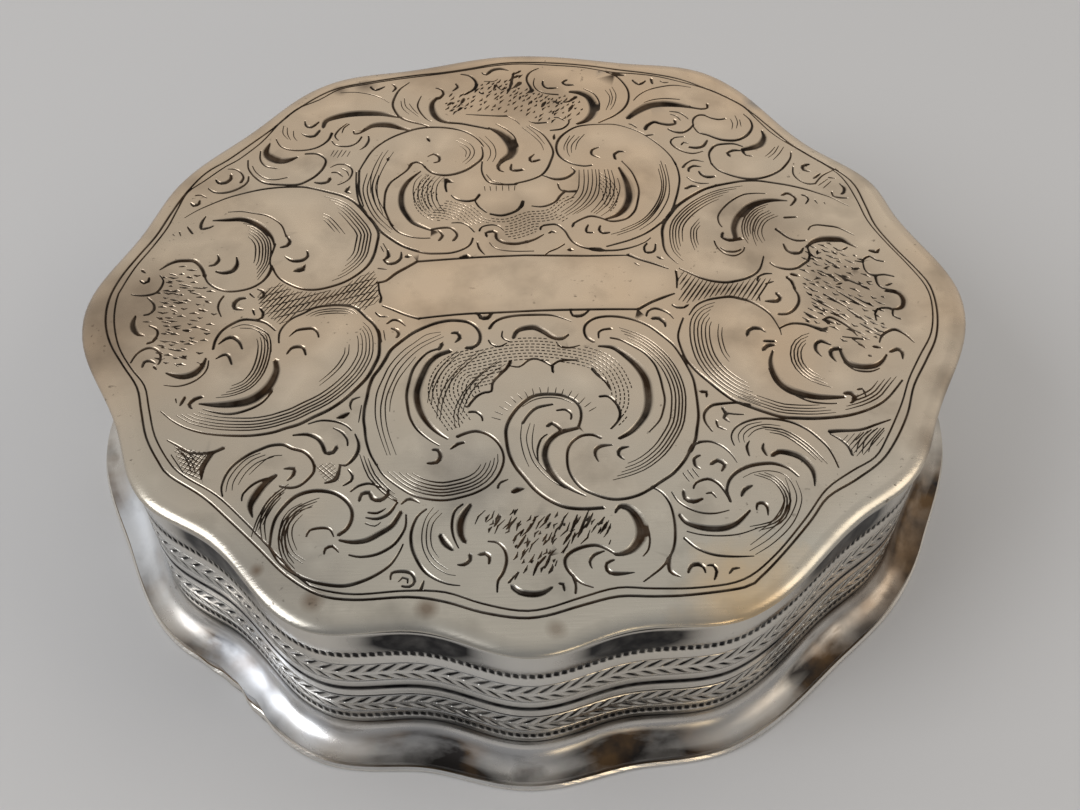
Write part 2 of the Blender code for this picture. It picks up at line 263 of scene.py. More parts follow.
# The engraver's strokes, listed one by one. The first three numbers are the cut's width where it
# starts, in its middle and where it ends, in hundredths of a millimetre. The rest are the
# points that it runs through, in millimetres.
STROKES = [
    # upper left corner scroll
    (8,25,16,-16.33,18.44,-16.22,17.89,-15.78,17.72,-15.28,18.28),(5,28,20,-16.44,16.94,-16,16.67,-15.5,
    16.67,-15.17,17.28),(10,85,12,-18.72,15.9,-18.83,14.9,-18.33,14.15,-17.45,13.85,-16.5,14.25),(8,14,10,
    -19.3,15,-19.2,14,-18.7,13.25,-17.9,13),(8,14,22,-18.28,16.33,-17.9,15.56,-17.2,15.1,-16.2,15,-15.2,
    15.28,-14.44,16.1,-14.2,17),(4,6,3,-17.9,17.9,-17.83,17,-17.4,16.3),(4,6,3,-17.6,17.7,-17.5,16.9,-17.2,
    16.2),(4,6,3,-17.1,17.3,-17,16.6,-16.7,16.1),(30,72,12,-14.9,17.7,-14.75,18.45,-13.9,18.95,-12.8,19.25,
    -11.7,19.3,-10.6,19.2,-9.7,18.9,-9.1,18.7),(10,20,16,-20.1,14,-20.05,13.5,-19.9,12.9,-19.33,12.05,
    -18.55,11.4,-17.3,11.2,-16.2,11.22,-15.55,11.6,-15,12.17,-14.55,12.95,-14.42,13.78,-14.7,14.3,-15.2,
    14.6,-16,14.6),(6,10,8,-19.7,13.3,-19.33,12.6,-18.67,11.95,-17.9,11.75,-17,12),
    # top left big scroll
    (5,8,5,-13.9,21.83,-12.8,21.9,-11.7,21.67,-10.8,21.2,-10.1,20.55),(22,22,10,-11.6,22.55,-11.2,22.15,
    -10.55,22.55),(10,20,8,-9.95,22.83,-9.67,22.45,-9.9,21.9),(8,20,12,-8.67,23.05,-9.33,22.2,-9.72,21.2,
    -9.78,20.3,-9.55,19.45,-9.1,18.7,-8.33,18.2,-7.45,17.83,-6.95,17.55),(4,6,3,-8.95,21.1,-8.8,20.1,-8.2,
    19.3,-7.8,18.8),(4,6,3,-9.2,20.8,-9.05,19.9,-8.5,19.1),(4,6,3,-8.55,20.4,-8.2,19.7,-7.8,19.1),(5,14,8,
    -7.67,21.33,-7.9,20.3,-7.7,19.45,-7.2,18.55,-6.8,18.2),(8,22,28,-6.55,22.3,-6.1,22.1,-5.95,21.55,-6.3,
    21),(22,65,22,-6.45,21.1,-6.75,20.5,-6.75,19.7,-6.5,18.9,-6,18.3,-5.3,17.98),(20,20,20,-5.4,18,-4.55,
    17.9,-3.55,17.6,-2.5,17.25),(15,100,20,-2.45,17.35,-1.67,16.8,-1,15.9,-.72,15,-.85,14.2,-1.4,13.67,
    -1.75,13.1),(8,12,6,-1.9,17.8,-1.1,17.1,-.55,16.3,-.35,15.4),(10,26,12,-4.67,24.05,-3.9,23.8,-3.45,23.1,
    -3.45,22.33,-3.9,21.8,-4.4,21.4),(15,22,8,-5,22.8,-4.85,22.45,-5.25,21.9),(22,30,15,-4.35,20.95,-4.55,
    20.4),(20,20,10,-4.6,19.8,-4.8,19.45),(22,22,12,-5.35,20.45,-5.6,20.15),(16,20,12,-3.15,21.75,-2.9,
    21.5),(10,14,6,-5.3,21.6,-5.5,21.2),(12,32,14,-2.95,24.2,-2.67,23.95,-2.2,24.5,-1.55,24.7,-.9,24.5),(18,
    22,8,-.5,24,-.67,23.1,-.8,22.2,-1.05,21.5),(6,8,6,-2.8,23.1,-2.1,23.05,-1.75,23.35),(16,16,6,-1.85,
    22.65,-2.1,22),(12,14,6,-1.8,22.5,-1.5,22),(10,12,5,-1.7,21.25,-2.05,20.8),(5,12,18,-4.2,19,-2.8,18.85,
    -1.65,18.75,-1.1,18.75),(8,8,4,-1.1,18.75,-.45,18.2,-.1,17.7),
    # round scroll left of the centre
    (10,18,10,-11.9,12.6,-11.67,13.4,-11.1,14.8,-10.33,15.8,-9.45,16.55,-8.33,17.15,-7.45,17.45,-6.55,17.5,
    -5.55,17.4,-4.55,17.1,-3.8,16.6,-3.2,15.9,-2.85,15.2),(8,22,16,-3,15.2,-2.9,14.45,-3,13.8,-3.55,13.1,
    -4.2,12.5,-5,12.1,-5.8,12,-6.6,12.3,-7.1,12.9),(3,6,3,-4.67,16.2,-3.9,15.55,-3.55,14.8,-3.67,14,-4.2,
    13.2),(3,6,3,-4.9,15.9,-4.2,15.3,-3.85,14.7,-3.95,14,-4.4,13.4),(3,5,3,-4.6,15.3,-4.15,14.7,-4.2,14),(3,
    6,3,-3.2,16.3,-2.45,15.1,-2.35,14.2,-2.6,13.5),(3,6,3,-2.75,16.4,-2.1,15.3,-1.95,14.2,-2.2,13.4),(26,30,
    24,-6.98,16.2,-6.88,15.95),(20,22,16,-9.92,13.95,-9.85,13.75),(8,24,10,-6.95,14.1,-6.55,14.4,-6.1,14.05,
    -6.15,13.55,-6.5,13.4),(14,16,10,-8.3,13.1,-8.1,13.4,-7.8,13.5,-7.35,13.3,-7.15,12.9),
    # little scroll under the top left crescent
    (6,14,8,-13.17,18.1,-13.67,17.45,-13.95,16.67,-13.67,16.1),(12,10,5,-13,18,-13.33,17.55,-13.45,16.95),
    (10,16,24,-12.6,17.2,-12.5,16.85,-12.1,16.95,-11.75,17.3),(24,66,14,-11.85,17.2,-11.3,17.75,-10.6,17.9,
    -9.8,17.8,-9,17.45,-8.3,17.15),(12,14,8,-11.95,16.5,-12.2,15.9,-12.7,15.45,-13.33,15.4,-13.9,15.67,
    -14.17,16.1),(10,18,8,-11.45,16.6,-11.4,16.05,-11.67,15.33,-12,15),(4,5,3,-13.9,14.95,-14.1,14.3),(4,5,
    3,-13.6,14.95,-13.9,14.2),(4,5,3,-13.3,15,-13.6,14.1),(4,5,3,-13,14.9,-13.3,14.2),(4,5,3,-12.7,14.8,
    -12.9,14.2),
    # top right big scroll
    (8,18,34,1.5,24.72,.94,24.33,.61,23.78,.56,23.1,.78,22.33,.94,21.78),(12,24,10,1.78,23.1,1.78,22.55,
    2.17,22.17,2.83,22.17),(18,28,10,3.67,23.17,3.33,22.9,3.6,22.55,4.2,22.5),(5,12,16,1.17,23.44,1.05,
    22.67,1.33,21.9,2.05,21.45,2.95,21.28),(24,82,22,3.8,21.65,4.6,21.5,5.3,20.95,5.62,19.9,5.45,18.9,4.9,
    18.1,4.2,17.7),(8,12,8,4.95,22,5.7,21.33,6.05,20.33,6,19.33),(4,6,3,6.6,21.8,6.9,21,6.8,20.2,6.5,19.3),
    (4,6,3,7.15,22.2,7.4,21.2,7.2,20.1,6.85,19.33),(4,6,3,6.95,22,7.1,20.9,6.9,19.9),(14,18,12,6.83,24.1,
    7.6,23.55,8.17,22.55,8.4,21.55,8.28,20.45,7.83,19.45,7.05,18.6,6.28,18.1,5.83,17.78),(40,30,10,7.5,23.8,
    8.3,23.67),(20,28,14,8.83,23,9.28,22.5,9.78,22.9),(20,26,16,10.3,23.2,10.35,22.55),(12,12,5,11,22.83,
    11.28,22.67,11.67,22.69),(6,12,5,8.72,20.44,9.17,21.1,9.83,21.7,10.83,22.1,12.05,22.28,13.3,22),(40,84,
    26,8.1,18.3,8.85,19.1,9.83,19.78,10.95,19.98,12.05,19.85,13,19.55),(22,18,22,12.9,19.58,13.8,19.28,
    14.28,19.45,14.35,19.9),(6,10,6,9.5,20.2,10.17,20.5,11.17,20.67,12.28,20.5),(8,14,10,8.17,17.6,8.4,17.5,
    8.72,17.17),(38,28,24,9.33,17,9.55,17.45,10.05,17.78,10.6,17.6,11.17,17.45,11.67,17.6,11.67,18),(6,14,8,
    11.33,19.05,12.05,18.9,12.5,18.45,12.72,18.1),(6,12,6,11.4,18.7,11.83,18.45,12.1,17.95),(14,22,12,11.05,
    16.95,11.5,16.6,12.05,16.5,12.6,16.85,13,17.4),
    # right corner scroll
    (12,18,14,13.02,17.3,13.05,18,13.4,18.5,13.95,18.55,14.45,18.2,15,18,15.55,18.1),(10,26,10,13,17.2,13.3,
    16.5,14,16.15,14.55,15.78,15.1,15.55,15.9,15.5,16.55,15.78,17.1,16.33,17.45,17.1,17.4,17.9,17,18.6),(4,
    6,3,15.9,18.1,16,17.45,15.83,16.8),(4,6,3,16.28,18.45,16.4,17.67,16.2,16.9),(4,6,3,16.6,18,16.6,17.1),
    (15,64,40,18.1,16.6,18.2,15.9,17.85,15.1,17.1,14.67,16.4,14.45),(10,20,14,13.83,12.83,13.78,13.9,14.05,
    14.55,14.4,14.95,15,15.12,15.78,15.1,16.4,14.8),(14,20,12,13.83,12.9,14.2,12.25,14.67,11.83,15.45,11.4,
    16.2,11.17,17,11.17,17.9,11.45,18.8,12.05,19.45,12.83,19.78,13.5,19.9,14.05),(30,26,12,15.28,13.78,
    15.22,14.1,15.67,14.33,16.2,14.3),(20,18,6,16.33,14.2,16.55,13.78,17,13.67),(8,16,8,12.17,16,11.4,15.9,
    11.1,15.45,11.28,14.9,11.83,14.33,12.6,14.05,13.4,14.28),(18,28,14,12.4,14.78,12.95,14.72,13.5,14.95,
    13.83,15.55),(10,14,6,11.83,15.05,12.05,15.33,12.4,15.2),(4,6,3,19.45,14.67,19,13.9,18.45,13.2),(4,6,3,
    19.1,14.78,18.67,14,18.1,13.45),(4,6,3,18.78,14.67,18.3,14,17.9,13.6),
    # below the big scrolls
    (6,16,12,.6,18.1,1.05,17.83,1.95,17.9),(8,12,8,2.5,18.5,2.83,18.45,3.28,18.1),(8,18,10,3.67,18,3.45,
    17.55,2.95,17.1,2.17,16.95),(12,24,16,2.45,16.45,2.4,15.95),(8,20,12,5.95,17.6,5.05,17.55,4.17,17.33,
    3.4,16.78,2.78,16,2.55,15.1,2.67,14.2,3.05,13.55,3.72,13.05,4.5,12.8,5.1,12.9),(8,10,12,5.95,17.6,7.05,
    17.55,8.17,17.1,9.05,16.45,9.83,15.55,10.5,14.67,11,13.67,11.2,12.9),(12,16,6,9.3,16.2,9.9,16.3),(4,6,3,
    3.95,16.33,3.4,15.33,3.33,14.45,3.5,13.9),(4,6,3,4.28,16.2,3.72,15.2,3.67,14.3),(4,6,3,3.6,16.3,3.17,
    15.2,3.1,14.6),(4,6,3,4.72,16.45,4.17,15.55,3.95,14.67),(6,22,6,5.72,14.9,5.22,14.67,5.17,14.1,5.72,
    13.72),(8,24,22,7.6,14.33,7.17,14.4,6.78,14.1,6.83,13.55),(4,6,3,.05,17.33,.83,16.33,1.4,15.45,1.6,
    14.67),(4,6,3,.4,17.45,1.17,16.45,1.72,15.33),(8,18,14,.6,17.55,1.5,16.67,2.05,15.55,2.28,14.45,2.05,
    13.33,1.75,12.5,1.28,11.83,.5,11.33,-.5,11),(10,26,14,.83,14.2,.55,13.78,.72,13.4,1.28,13.6),
    # cuts in the middle of the top scrolls
    (16,26,12,1.9,20.45,1.6,19.8),(20,24,10,2.72,20.45,2.95,20.1),(30,22,10,4.28,21,3.72,20.45,3.28,20.33),
    (10,20,12,3.95,19.8,3.7,19.33),(16,16,8,2.5,19.25,2.42,18.95),(12,14,8,.85,20.6,.78,20.25),(14,16,8,
    -.02,21.15,-.1,20.75),(20,20,10,0,24.33,-.4,24),(24,26,12,-.2,23.75,-.55,23.45),(30,34,16,-.02,22.8,
    -.35,22.45),
    # small scroll at the right edge
    (12,14,10,21.1,10.5,20.55,10.5,20,10.95,19.72,11.6,19.78,12.4),(4,12,12,23.67,12.5,22.9,12.1,21.8,11.4,
    21.1,10.5),(16,32,10,21,12.67,20.55,12.5,20.55,12.05,20.95,11.83),(14,20,8,21.1,11.1,21.67,11.6),(10,10,
    5,22.2,11.17,22.67,11.05),(5,7,4,21.3,10.3,22.1,11),(5,7,4,21.6,10,22.3,10.75),(12,30,18,22.9,10.45,
    23.17,10.05,23.05,9.6,22.78,9.33),(12,16,8,22.17,9.6,22.2,9.17,22.67,8.95,23.17,8.9),
    # small scroll at the left edge
    (6,14,22,-21.45,13,-20.9,12.95,-20.45,12.6,-20.22,12.05,-20.33,11.5),(10,20,12,-19.83,12.2,-19.83,11.6,
    -20.22,11.05,-20.78,10.6,-21.45,10.4,-22.1,10.5,-22.55,10.9),(20,32,14,-21.17,12.4,-21.1,11.95,-21.45,
    11.5,-21.9,11.5,-22.17,11.85),(10,12,8,-23.4,10.17,-23,10.22,-22.55,9.9),(10,30,16,-23.6,9.4,-23.33,9.1,
    -23,9.28,-23,9.6),
    # upper left oval
    (6,20,14,-23.78,7.83,-23,8.6,-22,9.28,-21,9.9,-19.9,10.33,-18.78,10.72,-17.67,10.9,-16.55,10.95,-15.67,
    10.9,-14.67,10.6,-14,10.33,-13,9.95,-12.22,9.4,-11.55,8.6,-10.9,7.6,-10.45,6.83,-10.17,5.95,-10.22,4.95,
    -10.33,3.83,-10.67,2.95,-11.22,2.17,-12,1.4,-12.78,.95,-13.9,.6,-14.9,.67,-15.67,1,-16.33,1.5,-16.78,
    2.05,-17.17,2.78),(10,52,14,-21.78,7.48,-20.8,7.55,-19.8,7.6,-18.9,7.25,-18.05,6.55,-17.5,5.75,-17.25,
    5),(5,12,12,-20.83,8.33,-19.9,8.4,-19,8.22,-18.1,7.95,-17.33,7.4,-16.9,6.83,-16.6,6.05,-16.5,5.75),(14,
    30,14,-16.4,5.7,-16.22,5.3,-16.4,4.85,-16.8,4.7),(8,26,10,-22.33,7.95,-22.55,7.3,-22.45,6.72,-21.9,6.8,
    -21.72,6.95),(10,20,14,-23.45,6.9,-23,6.22),(8,9,6,-23.95,6.4,-23.78,6),(8,8,4,-24.35,6.15,-24.2,6),(12,
    30,8,-14.95,4.28,-14.83,3.83,-15.22,3.4,-15.78,3.33,-16.22,3.6,-16.4,3.78),(24,50,20,-15.6,2.4,-15.1,
    2.55,-15,2.83),
    # left wave and its scroll
    (12,32,26,-24.72,2.72,-24.22,3.2,-23.67,3.5,-23.1,3.57,-22.5,3.48,-22.05,3.05,-21.75,2.5,-21.6,2.05),
    (14,16,22,-21.6,2.05,-21.33,1.5,-20.78,.95,-20.1,.6,-19.33,.55,-18.45,.78,-17.78,1.28,-17.4,1.95,-17.22,
    2.72),(16,12,16,-17.22,2.72,-17.4,3.5,-17.28,4.2,-17.2,5),(8,28,12,-21,4.05,-20.83,3.6,-21.1,3.1,-21.45,
    3),(8,38,14,-19.72,3.83,-19.55,3.17,-19.78,2.5,-20.33,2.28,-20.9,2.45),(22,22,14,-25.83,2.67,-25.67,
    2.45),(12,24,10,-25.28,2,-25.28,1.6,-25.55,1.45,-25.83,1.72),(8,18,8,-24.6,2.17,-24.28,1.72,-24.33,1.05,
    -24.67,.5,-25.22,.28,-25.78,.28,-26.22,.4),(8,20,12,-25.1,.1,-24.8,-.2,-24.55,-.55,-24.5,-1.05,-24.78,
    -1.45,-25.05,-1.5),
    # left edge, lower half
    (12,50,14,-25.6,-1.55,-25.67,-2.22,-25.45,-2.78,-25.1,-3.22,-24.8,-3.28),(10,18,16,-24.55,-2.45,-24,
    -2.78,-23.9,-3.33,-24.1,-3.83,-24.45,-4),(10,18,12,-25.22,-5.67,-24.95,-4.9,-24.45,-4.45,-23.9,-4.45,
    -23.45,-4.9,-23.33,-5.45,-23.45,-5.8),(14,22,10,-24.4,-6,-24.33,-5.6,-24,-5.5,-23.67,-5.72),(20,20,12,
    -23.65,-6,-23.5,-6.2),(12,54,14,-22.78,-6.55,-22.3,-6.75,-21.67,-6.85,-21.05,-6.6,-20.65,-6,-20.5,
    -5.33),(5,12,8,-22.78,-7.55,-21.9,-7.67,-21.1,-7.33,-20.55,-6.78,-20.28,-6.22,-20.28,-5.55),
    # lower left oval
    (18,20,12,-20.17,-4.6,-20.1,-3.78,-19.78,-3,-19.22,-2.4,-18.55,-2.05,-17.78,-2.1,-17,-2.4,-16.33,-3.05),
    (12,30,14,-19.83,-4.17,-19.45,-3.72,-19,-3.6,-18.55,-4,-18.28,-4.6),(10,24,14,-19.83,-5.4,-19.45,-5.1,
    -19.1,-5.17,-18.78,-5.9),(4,6,3,-19.22,-2.78,-18.45,-2.5,-17.45,-2.78,-16.67,-3.67,-16.4,-4.9),(4,6,3,
    -18.67,-2.78,-17.67,-2.95,-16.9,-3.78,-16.6,-4.67),(40,78,10,-16.05,-5.67,-15.9,-6.5,-16.15,-7.55,
    -16.67,-8.33,-17.33,-8.9,-18.33,-9.17,-19.33,-9.22,-20.4,-9.1),(10,18,5,-16,-8.22,-16.55,-9.1,-17.33,
    -9.67,-18.33,-9.95,-19.33,-9.78,-20.1,-9.55),(20,30,14,-20.28,-8.55,-20.72,-8.72,-21,-9.1,-20.78,-9.45),
    (18,22,12,-21.33,-8.55,-21.55,-9.22),(8,8,5,-21.9,-8.67,-21.8,-9),(6,24,12,-22.67,-9.67,-21.9,-10.33,
    -21,-10.95,-20,-11.33,-19,-11.55,-17.9,-11.65,-16.78,-11.65,-15.67,-11.45,-14.9,-11.17,-14.1,-10.83,
    -13.33,-10.33,-12.45,-9.78,-11.67,-9.1,-10.9,-8.22,-10.22,-7.22,-9.78,-6.22,-9.55,-5.33,-9.55,-4.33,
    -9.67,-3.45,-10,-2.67,-10.55,-2,-10.9,-1.55,-11.33,-1.1,-12.1,-.9,-13.1,-.9,-14,-1.1,-14.67,-1.55,
    -15.33,-2,-15.78,-2.55,-16.05,-3.22,-16.05,-3.78,-16,-4.17),(6,22,12,-15.4,-3.6,-15,-3.1,-14.4,-2.95,
    -13.9,-2.95,-13.6,-3.3,-13.5,-3.7),(10,26,14,-15.4,-5.1,-15.2,-4.65,-14.8,-4.5,-14.4,-4.6,-14.2,-5.2),
]
LEFT_DASH = (5, 11, 5)
for dash in (
    (-23.45,2.95,-23,3),(-24,2.28,-23.45,2.1),(-22.8,1.95,-22.33,1.83),(-24.1,1.5,-23.67,1.4),(-23.22,1.28,
    -22.33,1.05),(-22.22,.95,-21.45,.83),(-24,.72,-23.22,.55),(-22.33,.5,-21.67,.28),(-23.5,.45,-23,.3),
    (-24.2,-.3,-23.55,-.5),(-23,-.3,-22.4,-.5),(-21.2,-.4,-20.8,-.5),(-23.4,-1,-22.9,-1.3),(-21.6,-1,-21.1,
    -1.3),(-25,-2.1,-24.5,-2.1),(-23.8,-2.1,-23.2,-2.25),(-22,-2,-21.4,-2.1),(-23.1,-2.6,-22.5,-2.5),(-22.3,
    -2.95,-21.8,-3.05),(-21.2,-2.8,-20.6,-3),(-23.4,-3,-22.8,-3.2),(-22.9,-3.9,-22.4,-4.05),(-23,-4.5,-22.4,
    -4.65),(-22.2,-4.5,-21.8,-4.6),(-21.8,-3.8,-21.2,-4),(-22.2,-5.2,-21.7,-5.4),(-22.4,-5.8,-22.15,-6),
    (-21,-5.7,-20.75,-5.8),
):
    STROKES.append(LEFT_DASH + dash)
STROKES += [
    # small scroll between the left ovals' tops
    (8,14,8,-14,13.05,-13.55,13.33,-12.9,13.28,-12.45,12.83,-12.4,12.28,-12.6,11.72,-13,11.28,-13.33,11.1),
    (10,14,8,-13.9,12.45,-13.45,12.45,-13.05,12),(6,10,5,-13.2,12.9,-12.8,12.6,-12.6,12.05),(14,26,26,-15,
    11.4,-14.55,11.28,-14.1,11.45,-13.95,11.83),(12,30,12,-12.5,10.9,-12.72,10.4,-12.35,10.2),
    # large C scroll left of the shell
    (16,18,8,-11.9,12.6,-11.83,11.72,-11.78,10.72,-11.6,9.72,-11.33,8.78),(3,6,3,-9.9,14.9,-10.3,13.9,-10.6,
    12.5,-10.78,11.5,-10.78,10.5,-10.6,9.4,-10.33,8.4),(3,6,3,-9.5,14.7,-10,13.4,-10.35,12.2,-10.5,11.2,
    -10.45,10.1,-10.25,9,-9.95,7.95),(3,6,3,-10.3,14.7,-10.7,13.5,-10.95,12.4,-11,11.4,-10.95,10.17),(14,16,
    8,-8.1,13.28,-8.45,12.6,-9,11.95,-9.55,11.28,-9.83,10.4,-9.9,9.4,-9.83,8.5,-9.55,7.5,-9.22,6.6,-8.67,
    5.95,-7.9,5.55,-7.22,5.4,-6.55,5.4),(12,54,18,-7.45,12.45,-7.9,11.95,-8.33,11.28,-8.67,10.4,-8.72,9.4,
    -8.55,8.5,-8.22,7.72,-7.78,7.05,-7.22,6.6,-6.5,6.22),(18,18,20,-6.5,6.25,-5.9,6.4,-5.22,6.4,-4.78,6,
    -4.72,5.6,-4.95,5.17),(12,22,16,-6,6.17,-5.72,5.72,-5.95,5.17),(8,12,10,-5.1,6.9,-4.45,6.9,-3.9,6.55,
    -3.5,5.95),(14,16,10,-3.6,5.33,-3.78,4.72,-4.33,4.22,-5.1,3.9,-6,3.83,-6.78,3.9,-7.67,4.22,-8.55,4.72,
    -9.33,5.4,-10,6.05),(26,20,14,-5.55,11.5,-5.6,10.83,-5.5,10.2),(40,30,10,-5.5,11.4,-5.05,11.2),
    # shell below the top scrolls
    (10,20,20,-5.17,9.78,-4.78,9.4,-4.1,9.17,-3.5,9.28,-3.17,9.83),(12,16,12,-3.45,9.17,-3.2,8.6,-2.67,
    7.95),(18,22,24,-2.4,7.78,-1.67,7.6,-.9,7.83,-.33,8.28,-.05,9.05),(14,12,6,-3.17,6.05,-3,6.45,-2.33,
    6.67,-1.78,6.5,-1.45,6.05),(20,26,22,-2.67,5.55,-2.72,5.83,-2.22,6,-2,5.83,-1.95,5.28,-1.45,4.83,-.67,
    4.72,.17,4.88),(22,18,8,.1,4.87,.72,5.17,1.28,5.6),(8,8,6,-2.45,4.83,-2.1,4.33,-1.45,4.05,-.55,3.97,.6,
    3.97),(12,18,8,-3.28,4.9,-3.17,4.28,-2.78,3.72),(10,12,8,2.72,4.6,2.17,4.17,1.6,3.83,1.28,3.5),(10,14,
    18,-2.95,13.5,-3,12.6,-2.83,11.83,-2.45,11.17,-1.67,10.9,-.5,10.9),(6,8,5,-2.67,12,-2.22,11.3,-1.45,11),
    (14,28,12,-1.5,13.5,-1.78,12.95,-1.67,12.45,-1.4,12.28),(12,26,20,-.78,13.17,-.83,12.55,-.45,12.4,0,
    12.5),(10,26,8,3.55,12.67,3.78,12.28,3.5,11.83,2.95,11.45,2.28,11.4,1.72,11.72,1.33,11.83),(10,16,24,
    2.5,10.9,2.6,10.4,2.95,10.05,3.72,10.05),(20,18,8,2.95,10.05,2.6,9.6,2.28,9.05,1.72,8.6,1.17,8.45,.55,
    8.55),
    # cartouche
    (14,24,20,-9.98,1.15,-9.45,1.3,-8.78,2,-8.1,2.55,-7.38,3.1),(18,16,14,-7.4,3.1,-5,3.28,-2.78,3.45,0,
    3.56),(14,16,8,0,3.55,2.83,3.47,4.5,3.4,7,3.4),(26,18,10,7.05,3.45,7.83,2.95,8.72,2.55,9.67,2.05),(16,
    16,10,10.17,1.83,10.17,1.05,10.05,.22),(12,14,22,-9.9,1.05,-9.78,.28,-9.67,-.2,-9.72,-.67),(10,16,18,
    -9.55,-1,-8.78,-1.4,-7.9,-1.9,-7.05,-2.25),(14,16,16,-7.05,-2.2,-5.55,-2,-3.9,-1.83,-2.22,-1.78,0,
    -1.72),(16,18,16,0,-1.72,1.72,-1.67,5.05,-1.67,7.28,-1.72),(22,22,12,7.3,-1.7,8.17,-1.1,9.05,-.67,9.83,
    -.28),(20,38,20,-3.22,-1.95,-3.05,-2.2,-2.67,-2.25,-2.4,-1.95),(14,26,12,2.83,-1.72,3,-2.17,3.5,-2.22,4,
    -1.78),(20,32,20,-4.4,3.45,-4,3.62,-3.78,3.45),(10,30,16,-9.45,4.28,-9.33,3.72,-9.67,3.33),(10,26,14,
    -8.5,4.05,-8.5,3.5,-8.9,3,-9.33,2.95,-9.67,3.28),(20,30,6,-8.22,3.6,-7.78,3.67),(10,10,5,-10,2.5,-9.4,
    2.4),(5,7,4,-9.95,4.72,-9.7,4.1),(5,7,4,-9.8,5,-9.5,4.3),
    # large C scroll right of the shell
    (18,16,10,3.33,6.4,3.45,6.72,4.05,7.17,4.72,7.4,5.4,7.22,6.05,6.83,6.72,6.9,7.28,7.22,7.83,7.95,8.17,
    9.05,8.28,10.17,8.17,11.28,7.83,12.28,7.28,13.28),(20,72,16,7.05,12.6,7.45,11.3,7.6,10.2,7.55,9.2,7.2,
    8.25,6.55,7.5,5.75,7.12),(14,18,10,-.05,9.05,-.1,8.6,-.5,8.05),(16,16,8,1.1,6.1,1.2,6.45,1.8,6.6,2.3,
    6.55,2.8,5.95,3.05,5.3,3.35,4.75,3.9,4.3,4.6,4.05,5.5,3.88,6.5,3.95,7.5,4.25,8.3,4.7,8.7,5.1),(30,40,16,
    4.6,4.05,5.1,3.98,5.5,3.88),(12,20,10,4.45,6.5,4.28,6.1,4.35,5.75,4.75,5.7),(14,24,12,5.3,6.4,5.2,6,
    5.45,5.65,5.9,5.68),(18,22,8,1.7,5.75,1.85,5.9,2.2,5.75),(24,30,8,2.95,4.05,3.3,4),(14,20,10,8.4,4.55,
    8.2,4.2,8.25,3.7,8.6,3.65,8.9,3.9,9,4.5),(10,20,8,9,3.2,9.4,2.95),(10,22,8,7.45,2.6,7.7,2.4),
    # upper right oval
    (6,26,24,10.33,2.5,10.05,2.9,9.72,3.5,9.55,4.17,9.55,4.95,9.6,5.83,9.83,6.72,10.28,7.5,10.83,8.28,11.5,
    8.95,12.28,9.6,13.05,10.1,13.9,10.45),(22,16,5,13.9,10.45,14.9,10.72,15.9,10.9,17,10.9,18.1,10.67,19.22,
    10.33,20.33,9.9,21.22,9.45,22,9,22.55,8.5,23.1,8.05),(10,20,10,10.4,2.05,11.05,1.6,11.72,1.17,12.5,.78,
    13.4,.67,14.2,.8,14.8,1.02,15.45,1.4,15.9,1.95,16.17,2.6,16.28,3.1),(10,14,6,13.78,6.1,13.67,6.5,13.67,
    7.17,13.95,7.8,14.5,8.5,15.1,9.05,15.78,9.45,16.67,9.55,17.33,9.5),(8,66,44,18.78,8.72,17.78,8.8,16.9,
    8.67,16.1,8.25,15.45,7.6,14.95,6.83,14.67,5.95,14.65,5.05),(20,32,20,13.78,5.5,13.72,5.1,14.17,4.75,
    14.6,4.8,15.05,4.85),(10,14,8,13.1,4.72,13.22,4.17,13.6,3.5,14.17,3.22,14.55,3.28,15,3.72,15.1,4.05),(8,
    18,14,13.45,4,13.83,3.67,14.4,3.6,14.8,3.8),(22,22,12,18.55,9.33,18.78,9.5,19.17,9.4,19.45,8.95,19.22,
    8.5,18.95,8.22),(12,14,8,19.95,9.28,20.22,9.22,20.33,8.83,20.05,8.33),(12,14,6,20.78,8.72,20.9,8.4),(8,
    9,5,21.4,8.5,21.45,8.3),(4,7,3,17.67,7.28,16.9,6.83,16.45,6.17,16.22,5.28,16.4,4.4),(4,7,3,17.33,7.72,
    16.45,7.05,16,6.17,15.83,5.17,15.95,4.17),(4,7,3,17.45,7.5,16.67,6.95,16.22,6.17,16.02,5.28,16.1,4.6),
    (4,7,3,17.9,7.17,17.1,6.72,16.67,6.05,16.5,5.28,16.6,4.6),(24,20,12,17.55,5.78,17.78,5.5,18.22,5,18.78,
    4.6,19.45,4.6),(12,30,14,17.83,4.28,18,3.72,18.45,3.33,18.9,3.45,19.17,3.83),(18,18,8,18.3,6.95,19.2,7),
    # right wave
    (10,14,6,19.78,5.67,20,6,20.45,6.15,21.1,6.05,21.9,5.83,22.55,5.33,22.9,5.05),(18,62,8,19.45,4,19.9,
    4.45,20.55,4.7,21.33,4.7,22,4.6,22.4,4.25,22.83,3.78),(14,20,12,19.45,4,19.5,3.28,19.33,2.72,18.9,2.28,
    18.45,1.95,17.9,1.78,17.33,1.9,16.9,2.17,16.65,2.45),(14,16,8,19.55,3.17,20.05,2.78),(16,30,18,23.67,
    3.5,24.22,3.33,24.33,3.6),(8,18,10,22.5,2.5,23,2.4,23.1,2.67,23.55,2.95,24,2.55,24.45,2.4),(10,16,10,23,
    2.28,23,1.72,23.22,1.28,23.55,1.1,24.22,1.17,24.83,.95),(24,16,16,23.6,.95,23.6,.28,23.83,-.1,24.45,
    -.33),(16,18,8,24.17,.17,24.55,.28),(14,46,12,23.95,-.4,24.45,-.45,24.9,-.67,25.05,-1.22,24.85,-1.78,
    24.4,-2.05,24,-2.05),(10,16,14,22.83,-3.05,22.9,-2.4,23.22,-2,23.78,-1.95,24.1,-2.1,24.05,-2.67,24.45,
